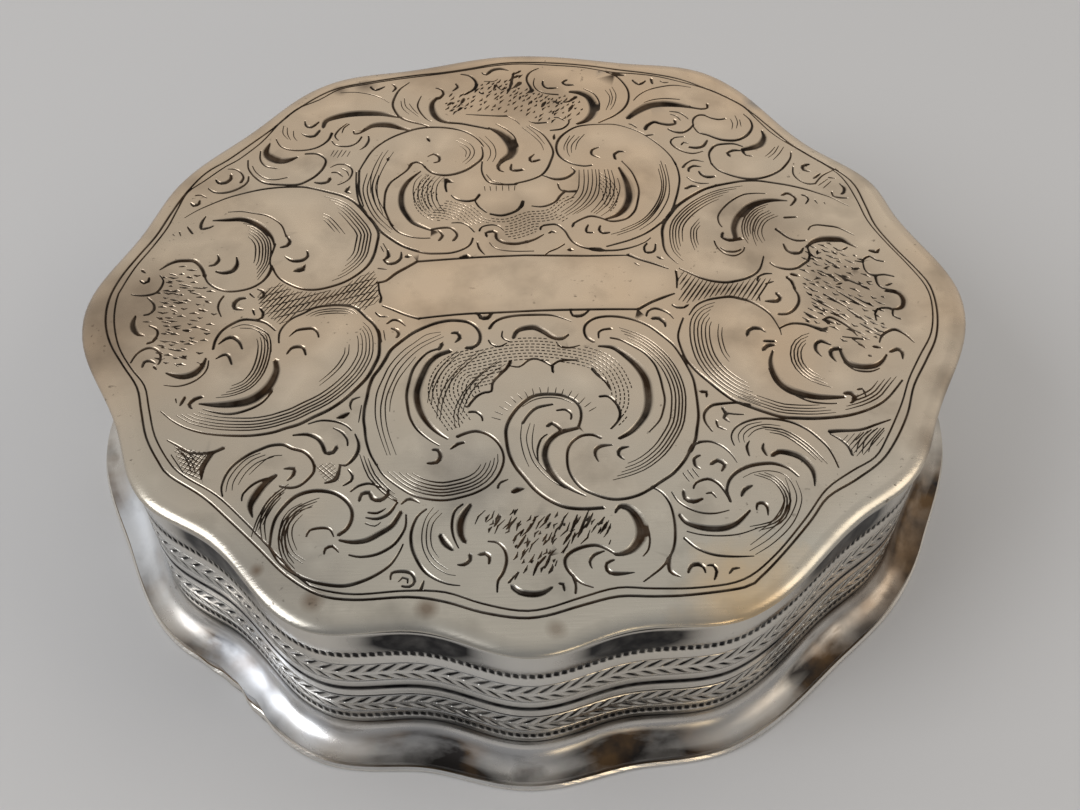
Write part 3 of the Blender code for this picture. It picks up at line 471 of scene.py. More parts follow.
    -2.95),(10,22,8,22.67,-5,22.9,-4.45,23.33,-4.05,23.9,-3.9,24.45,-4.28,24.9,-5.05),(22,32,8,23.22,-5.78,
    23.67,-5.6,23.95,-5.85,23.83,-6.45),
]
# Hatching left of the back shell is one route, moved along for each cut.
LEFT_HATCH = (3, 6, 3)
HATCH_COUNT = 6
HATCH_MOVE = (.33, -.05)
HATCH_ROUTE = (
    (-7.33,12.05),(-7.78,11.28),(-7.9,10.17),(-7.67,9.05),(-7.22,8.17),
)
for k in range(HATCH_COUNT):
    route = [(x + HATCH_MOVE[0] * k, y + HATCH_MOVE[1] * k) for x, y in HATCH_ROUTE]
    STROKES.append(LEFT_HATCH + sum(route, ()))
# Right of the shell each cut has its own route.
RIGHT_HATCH = (4, 7, 4)
for route in (
    (4.1,12.4,4.05,11.28,3.95,10.4,3.6,9.6,3.05,9.05),(4.45,12.45,4.4,10.95,4.17,9.72,3.5,8.72,2.6,7.83),
    (5.05,12.45,5,10.95,4.72,9.6,4.05,8.5,2.95,7.5),(5.55,12.4,5.5,10.83,5.28,9.6,4.72,8.6,3.72,7.72),(5.95,
    12.4,6,10.72,5.72,9.4,5.17,8.4,4.7,7.8),(6.45,12.28,6.6,10.95,6.4,9.6,5.83,8.5,5.05,7.6),(6.83,11.4,
    6.95,10.4,6.72,9.28,6.17,8.17,5.4,7.4),(4.75,12.4,4.7,11,4.45,9.8,3.8,8.7,2.85,7.7),(5.3,12.4,5.3,10.9,
    5,9.6,4.4,8.55,3.4,7.6),(6.2,12.4,6.3,10.9,6.1,9.6,5.5,8.4,4.9,7.7),
):
    STROKES.append(RIGHT_HATCH + route)
SHELL_TICK = (4, 5, 2)
SHELL_TICK_TOP, SHELL_TICK_END = 10.75, 10.2
SHELL_TICK_MIDDLE, SHELL_TICK_LEAN = -1.5, .05
for x in (-2.8, -2.4, -1.95, -1.5, -1.05, -.6):
    end = x - SHELL_TICK_LEAN * (x - SHELL_TICK_MIDDLE)
    STROKES.append(SHELL_TICK + (x, SHELL_TICK_TOP, end, SHELL_TICK_END))
STROKES += [
    # beside the cartouche, lower left
    (10,14,6,-9.95,-1.6,-9.67,-1.95,-9.17,-2),(14,18,6,-9.17,-2.6,-8.78,-2.28,-8.33,-2.4,-7.95,-2.83),(12,
    24,14,-8.83,-3.05,-8.5,-3.22,-8.33,-3.55,-8.5,-3.83),(4,6,3,-9.33,-3.2,-9.2,-4.1),(4,6,3,-9.67,-3.2,
    -9.4,-4.2),
    # lower left C scroll and the round under it
    (24,24,14,-4,-4.87,-3.55,-4.78,-3.17,-4.33,-3.1,-3.67,-3.4,-3,-3.9,-2.6,-4.55,-2.45,-5.22,-2.45,-6,
    -2.67,-6.78,-3.05,-7.55,-3.55,-8.22,-4.22,-8.78,-4.9,-9.1,-5.67,-9.45,-6.45,-9.78,-7.1,-10,-7.9,-10.1,
    -8.78,-10.2,-9.67,-10.22,-10.55,-10.12,-11.22,-9.97,-12.2,-9.67,-13.22,-9.25,-14),(10,14,20,-9.25,-14,
    -8.78,-14.78,-7.9,-15.67,-7,-16.28,-6.1,-16.6,-5.22,-16.7,-4.33,-16.55,-3.33,-16.22,-2.55,-15.67,-2,
    -14.9,-1.72,-14,-1.75,-13.2,-2.1,-12.45,-2.67,-11.9,-3.33,-11.65,-4,-11.78,-4.5,-12.05),(12,22,14,-4.83,
    -12.95,-4.45,-12.6,-4.05,-12.5),(3,8,3,-5.67,-3.45,-6.55,-3.67,-7.33,-4.33,-8.1,-5.1,-8.78,-6.22,-9.22,
    -7.33,-9.5,-8.45,-9.55,-9.55,-9.45,-10.67,-9.1,-12,-8.67,-13.33),(3,8,3,-5.67,-3.67,-7.22,-4.67,-8.33,
    -6.1,-8.9,-7.55,-9.17,-8.9,-9.22,-10,-9,-11.45,-8.45,-13.33),(3,7,3,-5.45,-3.83,-6.9,-4.78,-8,-6.22,
    -8.55,-7.55,-8.9,-8.9,-8.9,-10.2,-8.67,-11.67,-8.1,-13.33),(3,6,3,-7.22,-5.55,-8.22,-7.33,-8.6,-8.9,
    -8.67,-10),(14,30,10,-4.95,-3.55,-4.55,-3.55,-4.4,-3.95,-4.72,-4.33),(14,20,8,-5.78,-4.9,-6.45,-5.22,-7,
    -5.9,-7.33,-6.67,-7.55,-7.67,-7.67,-8.67,-7.55,-9.67,-7.33,-10.55,-6.9,-11.45,-6.22,-12.22,-5.55,
    -12.72),(30,56,12,-5,-5.1,-5.78,-5.45,-6.33,-6.1,-6.67,-6.9,-6.9,-7.78,-7,-8.67,-6.83,-9.67,-6.55,
    -10.45,-6.1,-11.22,-5.55,-11.78,-5.05,-12.22),(30,24,14,-5.55,-4.45,-5.72,-4.95),(3,6,3,-4.55,-5.1,
    -5.33,-6.1,-5.9,-7.1,-6.22,-8.22,-6.33,-9.33),(3,6,3,-4.3,-5.2,-5.1,-6.2,-5.65,-7.2,-5.98,-8.3,-6.1,
    -9.5),(3,7,3,-2.78,-5.1,-3.9,-6.22,-4.78,-7.45,-5.22,-8.45,-5.45,-9.55,-5.55,-10.78),(3,6,3,-3.15,-5.1,
    -4.25,-6.3,-5.05,-7.5,-5.5,-8.55,-5.7,-9.6,-5.75,-10.6),(3,7,3,-1.78,-6,-3,-7.1,-3.78,-8.22,-4.22,-9.22,
    -4.45,-10.22,-4.33,-11.33),(3,6,3,-2,-6,-3.2,-7.2,-4,-8.3,-4.45,-9.3,-4.68,-10.3,-4.6,-11.3),(3,6,3,
    -1.5,-6.3,-2.7,-7.3,-3.5,-8.3,-3.95,-9.3,-4.2,-10.2),
    # lower shell
    (26,16,18,-1.22,-6.17,-1.45,-6.67,-1.9,-7.22,-2.28,-7.78,-2.4,-8.5,-2.78,-8.6,-3.22,-8.78,-3.55,-9.22,
    -3.83,-9.72),(8,14,12,-1.22,-6.45,-.67,-6.55,-.25,-6.2,.05,-5.95,.5,-5.9,1.05,-6.22,1.45,-6.55),(22,18,
    5,-2.5,-3.22,-2.22,-2.67,-1.67,-2.28,-.78,-2.1,.2,-2.04,1.5,-2.1,2.28,-2.4,2.83,-2.72),(26,46,14,-.95,
    -4.05,-.7,-3.45,-.1,-3.2,.5,-3.2,1.1,-3.6,1.6,-4.05,2.17,-4.2,2.6,-3.83),(8,12,8,-1.67,-3.45,-1.72,-3.9,
    -1.5,-4.22,-1.22,-4.33),(10,12,8,-2.55,-4.22,-2.4,-4.55,-1.9,-4.78,-1.4,-4.5),(8,12,6,1.78,-4.45,2.05,
    -4.9,2.6,-5,3.28,-4.78),(14,16,10,-3.78,-10.17,-3.33,-10.17,-3,-10.5,-2.95,-10.83),(18,16,6,1.5,-7,1.5,
    -6.45,1.95,-6.1,2.6,-6.05,3.17,-6.05),(24,14,12,4,-6.78,4.28,-7.33,4.72,-7.78,5.02,-8.45),(16,18,12,
    4.28,-9.1,4.83,-9.1,5.28,-9.67,5.5,-10.33,5.33,-11,4.83,-11.67),
    # volute under the lower shell
    (18,24,20,2.9,-11.45,3.1,-10.67,3.05,-9.9,2.72,-9.33,2.17,-9,1.5,-8.83,.72,-8.83,.05,-9.05,-.67,-9.72,
    -1.22,-10.55,-1.48,-11.45,-1.5,-12.33,-1.33,-13.4,-1,-14.33,-.5,-15.15,.17,-16.1,.95,-16.83,1.83,-17.33,
    2.83,-17.5,4.05,-17.47),(20,48,8,2.83,-11.55,1.72,-11.9,1.05,-12.55,.78,-13.33,.85,-14,1.1,-14.75,1.6,
    -15.55,2.4,-16.22,3.05,-16.6),(16,20,12,-.5,-11.1,-.17,-10.45,.4,-9.9,1.4,-9.67),(4,7,4,-.5,-9.8,0,-9.4,
    .6,-9.15,1.3,-9.1,2,-9.25,2.6,-9.6),(24,26,16,1,-11.33,1.28,-11.17,1.72,-11.5,1.78,-11.83),(10,16,12,
    1.6,-10.17,2.17,-10.1,2.5,-10.45,2.45,-10.83),(3,6,3,-.05,-11.1,-.28,-12.2,-.17,-13.3,.17,-14.2,.95,
    -15.3,1.95,-16.1),(3,6,3,.2,-11.2,.05,-12.3,.1,-13.3,.5,-14.3,1.3,-15.4),(3,6,3,-.55,-11.1,-.67,-12.2,
    -.5,-13.4,-.2,-14.4),(8,14,8,.33,-13.9,.33,-13.1,.6,-12.3,.95,-12),
    # lower right C scroll and the round under it
    (20,16,24,4.22,-4.5,3.78,-4.17,3.63,-3.55,3.78,-2.95,4.28,-2.5,5.05,-2.28,5.95,-2.33,6.95,-2.67,7.83,
    -3.22,8.6,-4,9.28,-4.9,9.72,-5.78,10.05,-6.78,10.28,-7.78,10.35,-8.78,10.37,-9.78,10.28,-10.78,10.1,
    -11.78,9.9,-12.67,9.55,-13.4),(22,18,18,9.6,-13.2,9.3,-13.8,8.95,-14.33,8.28,-15.1,7.5,-15.72,6.9,
    -16.17,6.17,-16.6,5.28,-16.87,4.5,-16.83,3.72,-16.55,2.95,-16.1,2.45,-15.45,2.17,-14.67,2.1,-13.78,2.2,
    -13.1,2.5,-12.55,3.05,-12.17,3.72,-12.1,4.22,-12.33),(10,16,18,4.55,-4.22,4.6,-3.67,4.95,-3.45,5.4,
    -3.4),(12,16,8,5.28,-4.22,5.95,-4.4,6.72,-4.95,7.4,-5.55,7.95,-6.45,8.22,-7.45,8.28,-8.45,8.33,-9.45,
    8.17,-10.33,7.83,-11.1,7.17,-11.95),(14,68,22,4.5,-4.9,5.4,-5.05,6.17,-5.72,6.83,-6.6,7.28,-7.6,7.4,
    -8.6,7.35,-9.6,7.1,-10.5,6.6,-11.3,6,-11.95,5.28,-12.4),(8,26,8,3.95,-14.1,3.78,-13.67,3.83,-13.2,4.2,
    -12.95,4.83,-12.9),(6,26,8,5.83,-13.05,5.28,-13.2,5.22,-13.67,5.5,-14),(14,18,6,7.78,-2.28,7.95,-1.83,
    8.4,-1.67,8.95,-1.83,9.33,-2.22,9.55,-2.6),(22,30,12,8.17,-2.55,8.6,-2.55,8.95,-2.95,8.95,-3.28),(14,18,
    14,9.6,-1.33,9.9,-1.6,10.33,-1.6,10.6,-1.4),
    # lower right oval
    (12,24,12,10.22,-2.55,9.9,-3.33,9.72,-4.22,9.78,-5.22,10.05,-6.22,10.6,-7.22,11.28,-8.1,11.95,-8.9,
    12.72,-9.67,13.6,-10.17,14.5,-10.6,15.45,-11,16.33,-11.1,17.33,-11.17,18.45,-11.1,19.55,-10.95,20.67,
    -10.6,21.55,-10.17,22.22,-9.67,22.78,-9,23.45,-8.22),(8,20,5,10.6,-2.28,11.17,-1.45,11.83,-1,12.6,-.78,
    13.5,-.72,14.2,-.88,14.78,-1.17,15.45,-1.72,15.95,-2.33,16.22,-3,16.4,-3.78,16.4,-4.2),(24,30,10,14.22,
    -4.1,14.28,-3.78,14.67,-3.55,15.22,-3.67,15.4,-3.9),(24,34,18,15.05,-5.45,15.33,-5.1,15.78,-5.05),(18,
    20,16,15.2,-4.7,15.9,-4.75),(14,62,18,15.67,-5.55,15.4,-6.33,15.4,-7.22,15.67,-8.1,16.22,-8.78,17,-9.22,
    17.9,-9.45,18.78,-9.5,19.55,-9.5),(12,14,6,15.2,-7.1,15.67,-8.33,16.45,-9.22,17.33,-9.78,18.33,-10,19,
    -9.98),(22,36,16,19.6,-9.22,20,-9.2,20.22,-9.55,19.9,-9.95),(14,14,8,20.5,-8.9,20.78,-8.83,20.9,-9.45),
    (12,18,34,16.4,-3.6,16.78,-3.33,17.33,-3.22,18.1,-3.3,18.67,-3.55,19.1,-3.78),(14,22,8,19.33,-2.9,19.78,
    -2.72,20.33,-3,20.9,-3.55,21.22,-4.1,21.33,-4.4),(24,24,16,19.5,-3,20,-3.2),(8,10,16,20.33,-4.45,20.9,
    -4.55,21.67,-4.72),(14,10,5,21,-4.67,21.67,-5.5),(18,18,12,21.75,-6.1,21.9,-6.15),(8,30,16,18.72,-6.1,
    18.45,-5.55,18.55,-5,18.9,-4.78,19.45,-5.1),(8,34,28,19.55,-6.55,19.33,-6,19.45,-5.55,20,-5.45),(22,44,
    14,20,-5.55,20.17,-6.33,20.55,-6.83,21.22,-7.05,22,-6.95,22.55,-6.55,22.9,-6.05),(10,14,6,20.05,-6.67,
    20.67,-7.28,21.55,-7.45,22.22,-7.22),(18,20,10,22.22,-5.33,22.67,-5.45),
    # beside the right ovals
    (14,22,18,17.9,0,18.1,-.67,18,-1.33,17.55,-2,17,-2.33,16.5,-2.33),(26,26,14,17.6,1.05,17.83,.72,17.95,
    0),(20,26,10,17.9,1.33,18.45,1.17),(22,34,12,16.67,-.45,16.83,-.78,16.55,-1.17,15.78,-1.17),(10,10,6,
    15.45,-.67,15.45,-1.1),(16,16,6,15.55,.83,15.67,1.17,16.1,1.4,16.67,1.4),(14,14,6,16.1,.5,16.6,.67),
]
# Rays stand round the front shell.
SHELL_RAY = (5, 5, 2)
RAY_DEGREES = range(32, 161, 8)
RAY_MIDDLE = (1, -11.85)
RAY_ENDS = (3.05, 3.6)
for degrees in RAY_DEGREES:
    angle = math.radians(degrees)
    ray = [(RAY_MIDDLE[0] + r * math.cos(angle), RAY_MIDDLE[1] + r * math.sin(angle)) for r in RAY_ENDS]
    STROKES.append(SHELL_RAY + sum(ray, ()))
STROKES += [
    # lower left corner
    (8,16,24,-21.9,-11.9,-21.2,-12.33,-20.55,-12.78,-19.78,-12.95,-19,-12.83,-18.45,-12.55),(36,32,8,-19.15,
    -13,-19.5,-14,-19.45,-14.83),(6,7,4,-21.2,-12.55,-20.55,-13.33,-20.1,-14.3),(6,7,4,-20.9,-12.78,-20.2,
    -13.6,-19.9,-14.3),(6,7,4,-21.5,-13,-20.55,-14.4),(6,7,4,-20.4,-13,-19.9,-13.6),(10,20,14,-18.05,-16.1,
    -18.22,-15.45,-18.05,-14.55,-17.67,-13.78,-16.9,-13.1,-16.22,-12.72,-15.67,-12.45,-14.9,-12.42,-14.33,
    -12.7,-13.67,-12.95,-13.2,-13.4,-12.95,-13.9,-12.92,-14.4,-13.17,-14.9,-13.67,-15.45,-14.22,-15.6,
    -14.78,-15.45),(4,7,3,-16.2,-13,-16.9,-13.35,-17.45,-14,-17.83,-14.9,-17.9,-15.78),(4,7,3,-15.9,-13.15,
    -16.6,-13.5,-17.2,-14.2,-17.55,-15.1,-17.55,-15.7),(4,6,3,-15.4,-13.3,-16.3,-13.7,-16.9,-14.4,-17.25,
    -15.3),(4,6,3,-14.9,-13.2,-15.6,-13.3,-16.2,-13.9,-16.7,-14.6),(8,16,10,-16.9,-16.45,-16.9,-16,-16.45,
    -15.33,-15.78,-14.95,-15.22,-14.83),(20,62,10,-15.1,-14.67,-15.67,-15.22,-16.1,-16,-16.33,-16.78,-16.17,
    -17.6),(6,8,4,-15,-15.9,-15.55,-16.9,-15.67,-18,-15.45,-19.1),(6,8,4,-14.7,-16,-15.25,-17,-15.4,-18.1,
    -15.2,-19.2),(10,26,10,-14.67,-14.22,-14.1,-14.22,-14.1,-14.67,-14.4,-15.05),(14,24,22,-14.95,-19.67,
    -14.95,-18.55,-14.78,-17.67,-14.33,-16.78,-13.78,-16.22,-13.1,-15.9,-12.33,-15.83,-11.55,-16.05,-10.9,
    -16.55,-10.5,-17.22,-10.45,-17.9,-10.72,-18.55,-11.17,-18.95),(3,7,3,-12.9,-16.78,-13.78,-17.1,-14.22,
    -18,-14.22,-19,-13.78,-20.1,-13,-20.78),(3,6,3,-12.8,-17,-13.6,-17.3,-13.98,-18.1,-13.98,-19,-13.6,-20,
    -12.9,-20.6),(3,6,3,-13.3,-17.5,-13.75,-18.2,-13.75,-19,-13.4,-19.9),(3,6,3,-13.4,-16.7,-14.1,-17.2,
    -14.45,-18,-14.45,-19,-14.1,-20),(10,16,8,-12.95,-19,-12.78,-18.6,-12.22,-18.45,-11.67,-18.55,-11.4,
    -19.05),(10,18,6,-11.83,-20.22,-11.78,-19.83,-11.4,-19.72,-11.05,-20.1),(10,30,26,-14.4,-11.72,-13.55,
    -11.67,-12.9,-11.95,-12.55,-12.45,-12.3,-13.05,-11.9,-13.05,-11.72,-12.67),(8,14,10,-13.55,-10.83,
    -12.78,-10.6,-11.9,-10.72,-11.22,-11.05,-10.9,-11.4),(8,16,10,-12,-11.22,-11.45,-11.55,-11.1,-12.1,
    -11.05,-12.55),(10,24,8,-10.67,-11.72,-10.4,-12.33,-10.42,-13,-10.72,-13.67,-11.1,-14.05,-11.45,-13.95),
    (8,16,6,-10.55,-8.78,-11,-9,-11.1,-9.45,-11,-9.78),(12,36,14,-11.83,-10.4,-11.5,-10.3,-11.15,-10.05),(5,
    7,4,-10.4,-9.45,-10.5,-10.78),(14,24,10,-11.4,-14.1,-11.45,-14.67,-11.67,-15.1,-12.22,-15.28),(8,18,10,
    -10.9,-14.33,-10.6,-14.78,-10.72,-15.22,-11.1,-15.5),(10,16,8,-10.67,-15.95,-10.22,-15.55,-9.55,-15.4,
    -8.9,-15.72),(16,30,16,-10.1,-16.6,-10,-16.17,-9.55,-16.05,-9.33,-16.45,-8.9,-16.6,-8.45,-16.22,-8.45,
    -15.9),(8,20,12,-9.67,-17.78,-9,-17.9,-8.33,-17.55,-7.9,-16.78),(10,14,5,-9.55,-17.45,-9,-17.5,-8.55,
    -17.22),(8,8,5,-9.67,-18.22,-9.1,-18.4,-8.78,-18.17),(10,18,8,-7.67,-16.9,-7.33,-16.6,-7,-16.6,-6.6,
    -16.83),(14,36,26,-11.05,-19.28,-10.33,-19.45,-9.55,-19.33,-8.78,-18.9,-8.1,-18.33,-7.67,-17.45),(10,18,
    10,-10.45,-20.28,-9.78,-20.45,-8.9,-20.28,-8.1,-19.78,-7.67,-19.22,-7.33,-18.45,-7.33,-17.67),(12,20,8,
    -14.9,-19.78,-14.33,-20.67,-13.55,-21.33,-12.55,-21.9,-11.55,-22.22,-10.55,-22.28,-9.67,-22.05,-8.78,
    -21.6,-8.1,-21,-7.67,-20.22,-7.45,-19.67),(22,18,8,-6.33,-22.67,-6.22,-22.1),
    # round scroll left of the foot
    (10,22,5,-6.22,-17.28,-6.72,-17.78,-7,-18.78,-6.95,-19.78,-6.67,-20.67,-6.22,-21.45,-5.55,-22,-4.78,
    -22.33,-4.22,-22.45),(3,6,3,-5.78,-17.22,-6.22,-17.9,-6.4,-18.9,-6.28,-20,-5.78,-21,-5,-21.67,-4.45,
    -21.78),(3,6,3,-5.5,-17.4,-5.98,-18.05,-6.15,-18.95,-6.05,-20,-5.6,-20.8,-4.9,-21.4),(3,6,3,-5.3,-17.6,
    -5.75,-18.2,-5.9,-19,-5.8,-19.9,-5.4,-20.6),(26,58,34,-3.67,-17.05,-4.05,-17.78,-4.22,-18.45,-4.17,
    -19.1,-3.95,-19.55),(12,18,8,-4.1,-17,-4.55,-17.45,-4.72,-18.33,-4.6,-19.22,-4.28,-20),(30,44,20,-5.33,
    -19.1,-5.1,-19.6,-4.67,-20.1),(26,24,8,-3.67,-20.45,-3.67,-20.78,-4,-21.1,-4.33,-21.1),(18,24,14,-3.1,
    -20.45,-2.78,-20.4,-2.55,-20.67,-2.6,-21.05),(8,20,10,-2.67,-19.6,-2.1,-19.72,-1.72,-20.22,-1.6,-20.9,
    -1.78,-21.67,-2.1,-22.2,-2.15,-22.9),(16,14,5,-2.05,-15.9,-1.95,-15.55,-1.45,-15.28),(28,36,14,-1.22,
    -16.2,-.9,-16.05,-.6,-16),(30,40,16,-1.3,-22.6,-.9,-22.95,-.2,-23.1,.4,-23,.83,-22.7),(14,12,6,-1.5,
    -22.28,-1.2,-21.9),(14,20,12,1.28,-22.45,1.5,-22.5,1.55,-22.9),(14,16,10,2.17,-23.1,2.22,-22.55,2,
    -21.9),
    # round scroll right of the foot
    (12,22,8,4.55,-20.67,3.95,-20.22,3.4,-20.02,2.72,-20.1,2.05,-20.4,1.72,-20.78,1.72,-21.33,2,-21.9,2.5,
    -22.45,3.17,-22.75),(8,20,8,3.9,-20.4,3.28,-20.67,3.05,-21.1,3.17,-21.5),(12,26,5,4.4,-21,4,-21.22,4,
    -21.67,4.4,-21.9,5.5,-21.83),(12,80,16,4.72,-17.78,4.95,-17.4,5.5,-17.5,5.95,-18.1,6.15,-18.9,6,-19.67,
    5.5,-20.28,4.9,-20.6,4.5,-20.67),(10,12,6,6.5,-19,6.55,-19.67,6.4,-20.33,6.05,-20.78),(10,18,8,6.95,
    -16.05,7.5,-16.45,7.9,-17.22,8.05,-18.1,8.03,-19.1,7.9,-20.1,7.55,-20.9,7.05,-21.55,6.4,-22.1,5.95,
    -22.45),(26,24,6,7.5,-21,7.5,-21.78,8.05,-22.22),(8,12,5,8.1,-16.45,8.4,-17.1,8.95,-17.6,9.72,-17.95,
    10.5,-18,11.28,-17.78),(22,42,14,8.4,-18.05,8.72,-18.55,9.4,-18.9,10.17,-19.05,10.95,-19,11.72,-18.67,
    12.5,-17.83),(6,8,4,8.72,-19.22,9.5,-19.45,10.6,-19.55,11.72,-19.45,12.83,-19.05),(14,14,5,8.5,-19.67,
    9.17,-20.33,10.05,-20.78,11.17,-20.95,12.28,-20.95),(22,30,14,8.78,-16.4,8.83,-16.9,9.28,-17.17,9.83,
    -16.95),(12,18,10,9.4,-16.22,9.6,-15.78,10.28,-15.55,10.83,-15.83,11.22,-16.45,11.45,-17.17),(8,14,6,
    10.1,-16.6,10.45,-16.55,10.67,-16.9),(12,24,8,10.05,-13.78,9.72,-14,9.72,-14.55,9.95,-14.78),(22,30,10,
    10.67,-14.45,11.05,-14.22,11.45,-14.5,11.22,-15),(6,7,4,8.9,-15.1,9.2,-15.7),(6,7,4,9.2,-14.9,9.5,
    -15.5),(6,7,4,9.5,-14.8,9.8,-15.4),(22,12,5,9.72,-13,10.17,-12.78,10.83,-12.78,11.5,-13.22,11.95,-13.8,
    12.2,-14.4),(16,26,10,8.5,-21.9,8.7,-21.5,9.1,-21.4,9.4,-21.6,9.45,-21.95),(8,22,10,9.6,-21.5,9.95,
    -21.5,10.1,-21.9,9.9,-22.4),(12,16,6,10.8,-22,11,-21.75,11.4,-21.7),
    # lower right corner
    (14,24,12,11.45,-17.2,11.37,-16.45,11.6,-15.67,12.17,-15.05,12.95,-14.67,13.83,-14.5,14.5,-14.55,15.2,
    -14.9,15.7,-15.5),(14,30,12,12.17,-16.78,12.4,-16.33,12.83,-16.1),(10,22,8,12.9,-17.78,13,-17.4,13.33,
    -17.33,13.55,-17.67,13.5,-18.22),(3,6,3,12.4,-15.5,13.1,-15.15,14,-15.05,14.78,-15.3,15.22,-15.9,15.33,
    -17,14.9,-18.1,14.22,-19,13.2,-19.9,12.1,-20.6),(3,6,3,14.9,-15.6,15.02,-16.9,14.6,-17.95,13.95,-18.8,
    13.1,-19.5,12.2,-20.2),(3,6,3,15.5,-15.8,15.65,-17,15.2,-18.2,14.5,-19.2,13.4,-20.2,12.4,-20.85),(3,6,3,
    14.7,-16.9,14.3,-17.8,13.6,-18.7,12.8,-19.3),(30,46,8,14.4,-13.9,14.78,-13.67,15.55,-13.78,16.22,-14.22,
    16.6,-14.9,16.67,-15.55,16.55,-16.22),(10,20,8,11,-12,10.67,-11.22,10.72,-10.55,11.17,-10,11.83,-9.83,
    12.72,-9.78,13.6,-9.95),(20,24,8,11.83,-10.22,12,-10.67,11.83,-10.95,12.17,-11.28),(14,10,5,12,-10.6,
    12.5,-10.72,13.1,-10.75),(14,14,6,11.33,-11.22,11.4,-11.67,11.83,-11.9),(22,24,8,10.72,-8.83,11,-8.9,
    10.95,-9.28),(8,16,10,12.22,-13.1,12.1,-12.45,12.4,-11.78,13.05,-11.33,13.95,-11.1,15,-11.17,16,-11.45,
    16.78,-12,17.33,-12.67,17.78,-13.33,18.05,-14.1,18.2,-14.9),(3,6,3,12.83,-12.9,12.83,-12.33,13.4,-11.78,
    14.28,-11.55,15.2,-11.7),(3,6,3,12.55,-12.9,12.55,-12.3,13.15,-11.6,14.1,-11.35),(3,6,3,13.1,-12.5,13.6,
    -12,14.35,-11.8,15.1,-12),(10,20,6,13,-13.9,12.95,-13.22,13.17,-12.78),(12,24,10,14.05,-13.9,13.9,
    -13.33,14,-13),(28,18,8,18.1,-12.22,18.67,-12.17,20,-12.1,21.1,-11.72,22.05,-11.33),(8,14,18,18.17,
    -12.4,18.67,-12.78,19.05,-13.33,19.22,-14),(6,8,4,21.1,-12,20.2,-12.8,19.8,-13.9),(6,8,4,20.7,-12.1,
    19.9,-12.8,19.45,-13.8),(6,8,4,21.5,-12,20.6,-13,20.2,-13.8),(6,8,4,20.2,-12.3,19.6,-12.9),
    # left end of the hatching
    (14,14,8,-20.1,.1,-20.3,-.4,-20.3,-1,-20,-1.75),(18,34,10,-18.6,-.1,-19,-.15,-19.3,-.5,-19.2,-1,-18.67,
    -1.17),(14,14,8,-18.33,.28,-18.05,-.05),(10,20,12,-17.9,.72,-17.5,.5,-17.45,.05,-17.67,-.2),(14,22,14,
    -17.55,-1.05,-17.28,-1.45,-17.33,-1.9,-17.55,-2.05),(14,14,8,-18,-1.22,-17.83,-1.67),(14,30,14,-5.95,
    -13,-5.6,-13.05,-5.45,-13.5,-5.7,-13.95,-6.2,-14),
    # the finest shading
    (20,14,6,11.72,12.5,12.05,13,12.6,13.28,13.28,13.1),(18,22,8,12.1,12.05,12.17,12.4,12.5,12.67,13.05,
    12.55),(16,30,14,12.83,12.05,13,11.72,13.4,11.4,13.95,11.45),(8,12,5,11.9,11.4,12.28,10.95,12.83,10.72,
    13.4,10.72),(26,22,8,11.72,10.22,12.17,10.45,12.6,10.33),(12,18,12,11.05,13.5,11.28,12.5,11.33,11.28,
    11.17,10.17,10.83,9.05,10.3,7.5,9.3,6.35,8.3,5.5,7.1,4.85,5.6,4.3),(4,9,4,9.9,12.4,10,10.7,9.72,9.28,
    9.05,7.95,8.17,6.83,6.72,5.95),(4,9,4,10.17,13.3,10.33,11.28,10.1,9.6,9.5,8.17,8.72,6.95,7.72,6.05,6.4,
    5.4),(4,9,4,10.05,12.9,10.17,11,9.9,9.45,9.28,8.05,8.45,6.9,7.2,6,6,5.5),(4,8,4,10.45,12.9,10.55,11.1,
    10.4,9.5,9.85,8.1,9.1,6.9,8,5.9),(4,9,4,-11.3,12.3,-11.5,10.6,-11.1,8.9,-10.4,7.4,-9.3,6),(4,9,4,-11,
    12.2,-11.2,10.6,-10.85,9,-10.2,7.6,-9.2,6.3),(4,8,4,-10.7,12.1,-10.9,10.7,-10.6,9.2,-10,7.9,-9.1,6.7),
    (4,7,4,-10.45,12.1,-10.6,10.8,-10.35,9.5,-9.85,8.3),(10,16,8,-12.1,12.5,-12,10.9,-11.7,9.3,-11,7.8,-9.9,
    6.1,-8.4,4.7,-7.4,4.2),(10,20,12,-8.07,-21.96,-8,-21.55,-7.46,-21.45,-6.9,-21.6,-6.71,-22.1,-7,-22.45,
    -7.4,-22.4),(6,14,8,-7.6,-22.1,-7.4,-21.85,-7.1,-21.95,-7.1,-22.2),
]
